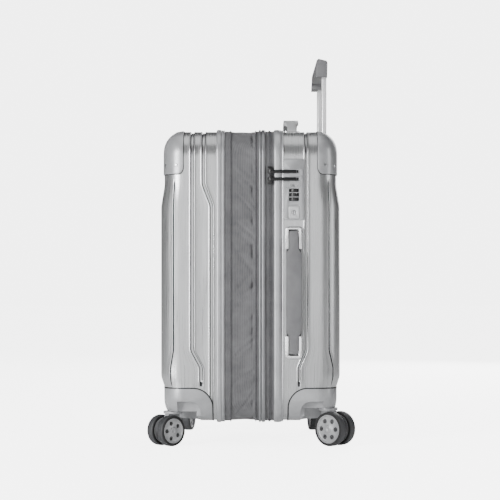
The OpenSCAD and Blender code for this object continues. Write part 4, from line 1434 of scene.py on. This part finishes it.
def make_wheel(node, centre, axle, radius, width, holes):
    """One wheel: a moulded hub with round windows, and a crowned tyre with black side walls."""
    rim = radius - 5 * MM
    w = width
    hub = lathe(
        "hub",
        [
            (3.1 * MM, 0), (7 * MM, 0), (7.5 * MM, 2.6 * MM), (rim - 3 * MM, 2.6 * MM),
            (rim - 2.4 * MM, 0.2 * MM),
            (rim - 0.1 * MM, 0), (rim - 0.1 * MM, w - 1.0 * MM), (rim - 0.6 * MM, w - 0.5 * MM),
            (rim - 1.8 * MM, w - 0.5 * MM), (rim - 2.4 * MM, w - 1.0 * MM), (rim - 2.8 * MM, w - 2.1 * MM),
            (rim - 3.6 * MM, w - 2.4 * MM), (7.4 * MM, w - 1.7 * MM), (6.4 * MM, w - 1.3 * MM),
            (5.8 * MM, w - 0.6 * MM),
            (4.8 * MM, w - 0.3 * MM), (2.6 * MM, w - 0.4 * MM),
            (1.6 * MM, w - 0.9 * MM), (0.0, w - 1.0 * MM),
            (0.0, w - 3.2 * MM), (3.1 * MM, w - 3.2 * MM),
        ],
        "hub",
        72,
    )
    windows = []
    for k in range(holes):
        a = math.radians(90 + 360 * k / holes)
        at = Vector((math.cos(a), math.sin(a), 0)) * rim * 0.62
        ring_points = [
            (at.x + rim * 0.17 * math.cos(b), at.y + rim * 0.17 * math.sin(b))
            for b in np.linspace(0, 2 * math.pi, 24, endpoint=False)
        ]
        windows.append(prism(ring_points, 2, 3.4 * MM, w + 2 * MM))
    cut(hub, [joined("windows", windows)], sharp=35)
    tread = lathe(
        "tread",
        [
            (rim, 1.2 * MM), (rim + 3.4 * MM, 1.0 * MM), (radius - 0.6 * MM, 1.6 * MM),
            (radius - 0.1 * MM, 3 * MM),
            (radius, w / 2), (radius - 0.1 * MM, w - 3 * MM), (radius - 0.6 * MM, w - 1.6 * MM),
            (rim + 3.4 * MM, w - 1.0 * MM), (rim, w - 1.2 * MM),
        ],
        "tyre",
        96,
    )
    walls = []
    for low, high in ((0.1 * MM, 1.4 * MM), (w - 1.4 * MM, w - 0.1 * MM)):
        face = low if low < w / 2 else high
        back = high if low < w / 2 else low
        mid = (face + back) / 2
        walls.append(
            lathe(
                "wall",
                [
                    (rim + 0.1 * MM, back), (rim + 0.1 * MM, face), (rim + 1.6 * MM, face),
                    (rim + 2.0 * MM, mid), (rim + 2.4 * MM, face), (radius - 1.6 * MM, face),
                    (radius - 0.9 * MM, mid), (radius - 1.0 * MM, back),
                ],
                "wall",
                96,
            )
        )
    tyre = joined(node + "_tyre", [tread, *walls])
    hub.name = node + "_hub"
    turn = axle.to_track_quat("Z", "X").to_matrix().to_4x4()
    for part in (hub, tyre):
        part.data.transform(Matrix.Translation(centre) @ turn)
        part.data.update()
    body = NODES[node]["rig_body"]
    settle(hub, body, [node])
    settle(tyre, body, [node])


TWIN_GAP = 11 * MM
WHEEL_WIDTH = 15.5 * MM


def make_casters():
    """Eight wheels on their axles, and four forks."""
    joints = {j["name"]: j for j in frame["joints"]}
    for name, joint in joints.items():
        if not name.startswith("roll_"):
            continue
        node = "caster_wheel_" + name[len("roll_") :]
        twin = -1 if name.endswith("_a") else 1
        # the twin's outer face looks along its own side of the axle
        outward = Vector(joint["axis"]) * twin
        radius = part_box(node)[1].z / 2
        centre = Vector(joint["pos_m"]) + outward * TWIN_GAP / 2
        holes = 5 if "front" in name else 6
        make_wheel(node, centre, outward, radius, WHEEL_WIDTH, holes)
    for end in ("front", "rear"):
        for hand in ("right", "left"):
            softened(f"caster_fork_{end}_{hand}", "fork", 0.7, steps=3)


# ---------- lock and handles ----------


def make_lock():
    """The lock's cover, dials, button and key core."""
    softened("lock_body", "lock", 0.4)
    for row in ("upper", "middle", "lower"):
        softened(f"lock_dial_{row}", "black", 0.2)
    softened("lock_release_button", "button", 0.6, steps=3)
    softened("lock_key_core", "steel", 0.25)


def make_carry_handles():
    """Both carry handles: bases, caps and grips."""
    softened("handle_bases", "housing", 0.5)
    softened("handle_end_caps", "chrome", 0.9, steps=3)
    softened("side_handle_grip", "grip", 1.2, steps=3)
    softened("top_handle_grip", "pale_grip", 2.4, steps=4)


def make_pull_handle():
    """Every part of the pull handle."""
    for node in ("trolley_outer_tubes", "trolley_middle_tubes", "trolley_inner_tubes"):
        softened(node, "tube", 0.25)
    softened("trolley_grip", "grip", 1.4, steps=3)
    softened("trolley_button", "black", 0.6)
    softened("trolley_bezel", "black", 0.6)
    softened("trolley_bracket", "black", 0.4)
    softened("trolley_middle_collars", "black", 0.2)
    softened("trolley_push_rods", "steel", 0.2)


def make_feet():
    """The four feet that the case rests on when it lies down."""
    for side in (FRONT, REAR):
        softened(HALF[side] + "_side_feet", "foot", 0.8, steps=3)


# ---------- fabrics inside ----------


def box_solid(low, high):
    """A closed block between two corners, to cut with."""
    (x0, y0, z0), (x1, y1, z1) = low, high
    return prism([(x0, y0), (x1, y0), (x1, y1), (x0, y1)], 2, z0, z1)


# The lining hangs just inside the pressed grooves.
LINING_INSET = 5.3 * MM
LINING_GRID = 12 * MM


def make_linings(settings):
    """Cloth over the inside of each half: it follows the shell and covers the tubes and housings softly."""
    for side in (FRONT, REAR):
        tray = Tray(side)
        points, faces, _, _ = tray_skin(tray, LINING_GRID, off=-LINING_INSET, grooves=False, plain=True)
        cavity = mesh_object("cavity", points, faces, None)
        tidied(cavity, 0.05 * MM)
        rim = bmesh.new()
        rim.from_mesh(cavity.data)
        # The cavity is carried past the rim, so that the cloth's open edge is cut clean.
        edge = bmesh.ops.extrude_edge_only(rim, edges=[e for e in rim.edges if e.is_boundary])
        moved = [v for v in edge["geom"] if isinstance(v, bmesh.types.BMVert)]
        bmesh.ops.translate(rim, verts=moved, vec=(0, -side * 25 * MM, 0))
        bmesh.ops.holes_fill(rim, edges=[e for e in rim.edges if e.is_boundary])
        bmesh.ops.recalc_face_normals(rim, faces=rim.faces)
        rim.to_mesh(cavity.data)
        rim.free()
        cut(cavity, lining_blocks(side))
        applied(
            cavity,
            ("REMESH", {"mode": "VOXEL", "voxel_size": settings.cloth_cell}),
            ("SMOOTH", {"factor": 0.5, "iterations": 7}),
        )
        work = bmesh.new()
        work.from_mesh(cavity.data)
        bmesh.ops.bisect_plane(
            work, geom=[*work.verts, *work.edges, *work.faces], clear_inner=True,
            plane_co=(0, tray.rim_y + side * 1.2 * MM, 0), plane_no=(0, side, 0),
        )
        bmesh.ops.reverse_faces(work, faces=work.faces)
        for v in work.verts:
            # shallow wrinkles, 100 to 130 mm long
            along = math.sin(v.co.x * 61 + 3 * math.sin(v.co.z * 23))
            v.co += v.normal * (0.5 * MM * along * math.sin(v.co.z * 47 + v.co.y * 90))
        work.to_mesh(cavity.data)
        work.free()
        shade(cavity, 80)
        applied(cavity, ("SOLIDIFY", {"thickness": 0.6 * MM, "offset": -1.0}), sharp=80)
        cavity.data.materials.clear()
        cavity.data.materials.append(finish_of("lining"))
        node = HALF[side] + "_lining"
        cavity.name = node + "_cloth"
        settle(cavity, BODY[side], [node])


def lining_blocks(side):
    """What the lining covers: the wheel housings, and in the rear the tubes, cup, lock and handles."""
    blocks = []
    far = 0.3
    low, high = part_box(HALF[side] + "_wheel_housings")
    inner_y = (low.y if side > 0 else high.y) - side * 4.6 * MM
    for s in (RIGHT, LEFT):
        ys = sorted((inner_y, inner_y + side * far))
        xs = sorted((s * (HOUSING_INNER_X - 8 * MM), s * far))
        blocks.append(
            box_solid((xs[0], ys[0], Z_LOW - far), (xs[1], ys[1], high.z + 8 * MM))
        )
    if side < 0:
        return blocks
    low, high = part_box("trolley_outer_tubes")
    for s in (RIGHT, LEFT):
        xs = sorted((s * (high.x + 6 * MM), s * (high.x - 32 * MM)))
        blocks.append(box_solid((xs[0], low.y - 5.5 * MM, -far), (xs[1], far, 1.0)))
    low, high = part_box("trolley_bezel")
    blocks.append(
        box_solid((low.x - 5 * MM, low.y - 6 * MM, low.z - 9 * MM), (high.x + 5 * MM, far, 1.0))
    )
    low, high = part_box("lock_body")
    grip_low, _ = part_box("side_handle_grip")
    blocks.append(
        box_solid(
            (X_SIDE - 34 * MM, low.y - 5 * MM, grip_low.z - 14 * MM),
            (far, high.y + 5 * MM, high.z + 8 * MM),
        )
    )
    low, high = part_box("top_handle_grip")
    blocks.append(
        box_solid(
            (low.x - 15 * MM, low.y - 8 * MM, Z_TOP - 34 * MM),
            (high.x + 15 * MM, high.y + 8 * MM, 1.0),
        )
    )
    return blocks


STRAP_ANGLE = math.radians(46)
STRAP_WIDTH = 25 * MM


def make_straps():
    """Elastic packing straps with stitched edges, and the buckle they meet at."""
    low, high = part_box("packing_straps")
    buckle_low, buckle_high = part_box("strap_buckle")
    middle = (buckle_low + buckle_high) / 2
    y = (low.y + high.y) / 2
    angle, half, buckle_half = STRAP_ANGLE, STRAP_WIDTH / 2, 24.5 * MM
    pieces = []
    for end_x in (low.x, high.x):
        for up in (-1, 1):
            side = 1 if end_x > 0 else -1
            way = Vector((side * math.cos(angle), 0, up * math.sin(angle)))
            across = Vector((-way.z, 0, way.x))
            length = abs(end_x) / math.cos(angle) - half * math.tan(angle)
            n, m = 60, 9
            points = []
            for i in range(n):
                t = i / (n - 1)
                along = buckle_half + (length - buckle_half) * t
                for j in range(m):
                    w = (j / (m - 1) * 2 - 1) * half
                    bulge = 0.5 * MM * math.sin(along * 900) * (abs(w) / half) ** 2
                    p = middle + way * along + across * w
                    points.append((p.x, y + 1.6 * MM * math.sin(math.pi * t) + bulge * 0.4, p.z))
            strap = mesh_object("strap", points, grid_faces(n, m, 0), "strap", 70)
            applied(strap, ("SOLIDIFY", {"thickness": 1.3 * MM, "offset": 0.0}),
                    ("BEVEL", {"width": 0.3 * MM, "segments": 2, "limit_method": "ANGLE",
                               "angle_limit": math.radians(60)}), sharp=70)
            pieces.append(strap)
    settle(joined("packing_straps_webbing", pieces), "rear_case", ["packing_straps"])
    softened("strap_buckle", "black", 1.0, steps=3)


# ---------- stage ----------


PAPER_BOUNCE = 0.22


def make_stage(settings):
    """A wide white floor, large softboxes around the camera, and the camera."""
    n, reach = 13, 20.0
    steps = np.linspace(-reach, reach, n)
    points = [(x, y, 0.0) for x in steps for y in steps]
    floor = mesh_object("studio_floor", points, grid_faces(n, n, 0, flip=True), None, 80)
    # Matt white paper, very slightly uneven. It looks white, but lights the case only softly.
    made, tree = new_material("studio_paper")
    coords = add(tree, "ShaderNodeTexCoord")
    tone = add(
        tree, "ShaderNodeTexNoise", sockets={"Vector": (coords, "Object"), "Scale": 2.0}
    )
    ramp = add(
        tree,
        "ShaderNodeValToRGB",
        sockets={"Fac": (tone, "Fac")},
        stops=[(TONE_LOW, linear("f4f4f4")), (TONE_HIGH, linear("f8f8f8"))],
    )
    rays = add(tree, "ShaderNodeLightPath")
    glow = add(
        tree,
        "ShaderNodeMapRange",
        sockets={
            "Value": (rays, "Is Camera Ray"), "To Min": PAPER_BOUNCE, "To Max": settings.paper_glow
        },
    )
    shader = add(
        tree,
        "ShaderNodeBsdfPrincipled",
        sockets={
            "Base Color": (ramp, "Color"), "Roughness": 0.6,
            "Emission Color": (1, 1, 1, 1), "Emission Strength": (glow, "Result"),
        },
    )
    add(tree, "ShaderNodeOutputMaterial", sockets={"Surface": (shader, "BSDF")})
    floor.data.materials.append(made)

    world = bpy.data.worlds.new("studio")
    bpy.context.scene.world = world
    world.use_nodes = True
    sky = world.node_tree.nodes["Background"]
    sky.inputs["Color"].default_value = (1, 1, 1, 1)
    rays = add(world.node_tree, "ShaderNodeLightPath")
    glow = add(
        world.node_tree,
        "ShaderNodeMapRange",
        sockets={"Value": (rays, "Is Camera Ray"), "To Min": settings.sky, "To Max": settings.paper_glow},
    )
    world.node_tree.links.new(glow.outputs["Result"], sky.inputs["Strength"])
    for name, place, aim, size, power in (
        ("key_softbox", (2.4, -2.1, 1.0), (0, -0.1, 0.35), (0.9, 1.7), settings.key),
        ("front_softbox", (3.3, -0.15, 0.62), (0, 0.0, 0.3), (1.9, 0.9), settings.fill),
        ("top_softbox", (0.5, 0.0, 3.0), (0.2, 0, 0.3), (2.0, 2.4), settings.top),
        ("rim_softbox", (1.0, 2.8, 0.9), (0, 0.1, 0.3), (0.5, 2.2), settings.rim),
        ("back_softbox", (-2.6, 1.0, 1.2), (0, 0.0, 0.3), (1.6, 1.8), settings.back),
    ):
        light = bpy.data.lights.new(name, "AREA")
        light.shape = "RECTANGLE"
        light.size, light.size_y = size
        light.energy = power
        lamp = bpy.data.objects.new(name, light)
        lamp.location = place
        lamp.rotation_euler = (Vector(aim) - Vector(place)).to_track_quat("-Z", "Y").to_euler()
        bpy.context.scene.collection.objects.link(lamp)

    camera = bpy.data.cameras.new("side_view")
    camera.lens = 116.6
    camera.sensor_width = 36
    camera.shift_y = 0.072
    camera.shift_x = -0.001
    camera.clip_end = 50
    eye = bpy.data.objects.new("side_view", camera)
    eye.location = (2.984, 0, 0.279)
    eye.rotation_euler = (math.pi / 2, 0, math.pi / 2)
    bpy.context.scene.collection.objects.link(eye)
    bpy.context.scene.camera = eye


# ---------- settings, operators and panel ----------


def colour(name, description, hex_colour):
    return FloatVectorProperty(
        name=name, description=description, subtype="COLOR", size=3, min=0, max=1,
        default=linear(hex_colour)[:3],
    )


def length(name, description, millimetres):
    return FloatProperty(
        name=name, description=description, default=millimetres * MM, unit="LENGTH", min=0
    )


def strength(name, description, amount):
    return FloatProperty(name=name, description=description, default=amount, min=0, subtype="FACTOR")


def power(name, description, watts):
    return FloatProperty(name=name, description=description, default=watts, min=0, unit="POWER")


class SuitcaseColours(bpy.types.PropertyGroup):
    """Colours that a user would change."""

    shell_light: colour("Film, light", "The shell film where its hairlines are light", "c2c3c4")
    shell_dark: colour("Film, dark", "The shell film where its hairlines are dark", "a5a6a7")
    frame: colour("Frames", "The satin paint of the three frames", "adaeb0")
    guard: colour("Guards", "The satin paint of the corner guards", "a7a8aa")
    gusset: colour("Gusset", "The fold-out fabric", "666668")
    lining: colour("Lining", "The cloth inside", "4c4e53")
    grip: colour("Grips", "The soft coating of the grips", "6d6d6f")


class SuitcaseSizes(bpy.types.PropertyGroup):
    """Sizes that change the looks and not the fit."""

    cell: length("Shell cell", "Spacing of the shell mesh", 4.6)
    wall: length("Shell wall", "Thickness of the shells", 2.4)
    slack: length("Gusset slack", "How far the gusset hangs inwards", 1.3)
    crease: length("Gusset crease", "Height of the gusset's creases", 2.0)
    fold_pitch: length("Fold pitch", "Mean distance between the gusset's creases", 15)
    tuck: length("Gusset tuck", "Depth of the tucks along the gusset's rear edge", 4.5)
    cloth_cell: length("Lining cell", "Spacing of the lining mesh", 6.0)


class StudioSettings(bpy.types.PropertyGroup):
    """The light."""

    sky: strength("Sky", "Light from all around", 0.08)
    paper_glow: strength("Paper glow", "How bright the floor and the sky look", 5.0)
    key: power("Key", "Large light at the front left", 150.0)
    fill: power("Fill", "Light beside the camera", 14.0)
    top: power("Top", "Light above", 24.0)
    back: power("Back", "Light on the left side", 55.0)
    rim: power("Rim", "Light behind the rear", 24.0)


class SUITCASE_OT_stage(bpy.types.Operator):
    """Floor, lights and camera."""

    bl_idname = "suitcase.stage"
    bl_label = "Stage and camera"

    def execute(self, context):
        make_stage(context.scene.suitcase_studio)
        return {"FINISHED"}


class SUITCASE_OT_shells(bpy.types.Operator):
    """The two moulded shells."""

    bl_idname = "suitcase.shells"
    bl_label = "Shells"

    def execute(self, context):
        for side in (FRONT, REAR):
            make_shell(side, context.scene.suitcase_sizes)
        return {"FINISHED"}


class SUITCASE_OT_frames(bpy.types.Operator):
    """The rim frames and the middle frame."""

    bl_idname = "suitcase.frames"
    bl_label = "Frames"

    def execute(self, context):
        make_frames()
        return {"FINISHED"}


class SUITCASE_OT_zips(bpy.types.Operator):
    """Tapes, teeth, sliders and pulls."""

    bl_idname = "suitcase.zips"
    bl_label = "Zips"

    def execute(self, context):
        make_zips()
        return {"FINISHED"}


class SUITCASE_OT_gusset(bpy.types.Operator):
    """The fold-out fabric and the fabric hinge."""

    bl_idname = "suitcase.gusset"
    bl_label = "Gusset"

    def execute(self, context):
        make_gusset(context.scene.suitcase_sizes)
        make_hinge()
        return {"FINISHED"}


class SUITCASE_OT_guards(bpy.types.Operator):
    """Guards and rivets."""

    bl_idname = "suitcase.guards"
    bl_label = "Corner guards"

    def execute(self, context):
        make_guards()
        return {"FINISHED"}


class SUITCASE_OT_housings(bpy.types.Operator):
    """Housings and their piping."""

    bl_idname = "suitcase.housings"
    bl_label = "Wheel housings"

    def execute(self, context):
        make_housings()
        return {"FINISHED"}


class SUITCASE_OT_casters(bpy.types.Operator):
    """Wheels and forks."""

    bl_idname = "suitcase.casters"
    bl_label = "Casters"

    def execute(self, context):
        make_casters()
        return {"FINISHED"}


class SUITCASE_OT_lock(bpy.types.Operator):
    """Lock cover, dials, button and key core."""

    bl_idname = "suitcase.lock"
    bl_label = "Lock"

    def execute(self, context):
        make_lock()
        return {"FINISHED"}


class SUITCASE_OT_carry_handles(bpy.types.Operator):
    """Side and top handles."""

    bl_idname = "suitcase.carry_handles"
    bl_label = "Carry handles"

    def execute(self, context):
        make_carry_handles()
        return {"FINISHED"}


class SUITCASE_OT_pull_handle(bpy.types.Operator):
    """Tubes, grip, button and cup."""

    bl_idname = "suitcase.pull_handle"
    bl_label = "Pull handle"

    def execute(self, context):
        make_pull_handle()
        return {"FINISHED"}


class SUITCASE_OT_feet(bpy.types.Operator):
    """The feet on the left side."""

    bl_idname = "suitcase.feet"
    bl_label = "Side feet"

    def execute(self, context):
        make_feet()
        return {"FINISHED"}


class SUITCASE_OT_linings(bpy.types.Operator):
    """The cloth inside both halves."""

    bl_idname = "suitcase.linings"
    bl_label = "Linings"

    def execute(self, context):
        make_linings(context.scene.suitcase_sizes)
        return {"FINISHED"}


class SUITCASE_OT_straps(bpy.types.Operator):
    """Elastic straps and buckle."""

    bl_idname = "suitcase.straps"
    bl_label = "Packing straps"

    def execute(self, context):
        make_straps()
        return {"FINISHED"}


# In the order that they run.
OPERATORS = [
    SUITCASE_OT_stage,
    SUITCASE_OT_shells,
    SUITCASE_OT_frames,
    SUITCASE_OT_zips,
    SUITCASE_OT_gusset,
    SUITCASE_OT_guards,
    SUITCASE_OT_housings,
    SUITCASE_OT_casters,
    SUITCASE_OT_lock,
    SUITCASE_OT_carry_handles,
    SUITCASE_OT_pull_handle,
    SUITCASE_OT_feet,
    SUITCASE_OT_linings,
    SUITCASE_OT_straps,
]


class SUITCASE_PT_panel(bpy.types.Panel):
    """Lists the suitcase's colours, sizes and operators."""

    bl_label = "Suitcase"
    bl_idname = "SUITCASE_PT_panel"
    bl_space_type = "VIEW_3D"
    bl_region_type = "UI"
    bl_category = "Suitcase"

    def draw(self, context):
        for group in ("suitcase_colours", "suitcase_sizes", "suitcase_studio"):
            settings = getattr(context.scene, group)
            box = self.layout.box()
            for name in settings.__annotations__:
                box.prop(settings, name)
        for made in OPERATORS:
            self.layout.operator(made.bl_idname)


CLASSES = [SuitcaseColours, SuitcaseSizes, StudioSettings, *OPERATORS, SUITCASE_PT_panel]
GROUPS = {
    "suitcase_colours": SuitcaseColours,
    "suitcase_sizes": SuitcaseSizes,
    "suitcase_studio": StudioSettings,
}


def register():
    for made in CLASSES:
        bpy.utils.register_class(made)
    for name, group in GROUPS.items():
        setattr(bpy.types.Scene, name, bpy.props.PointerProperty(type=group))


def unregister():
    for name in GROUPS:
        delattr(bpy.types.Scene, name)
    for made in reversed(CLASSES):
        bpy.utils.unregister_class(made)


def main():
    register()
    for made in OPERATORS:
        group, name = made.bl_idname.split(".")
        getattr(getattr(bpy.ops, group), name)()


if __name__ == "__main__":
    main()
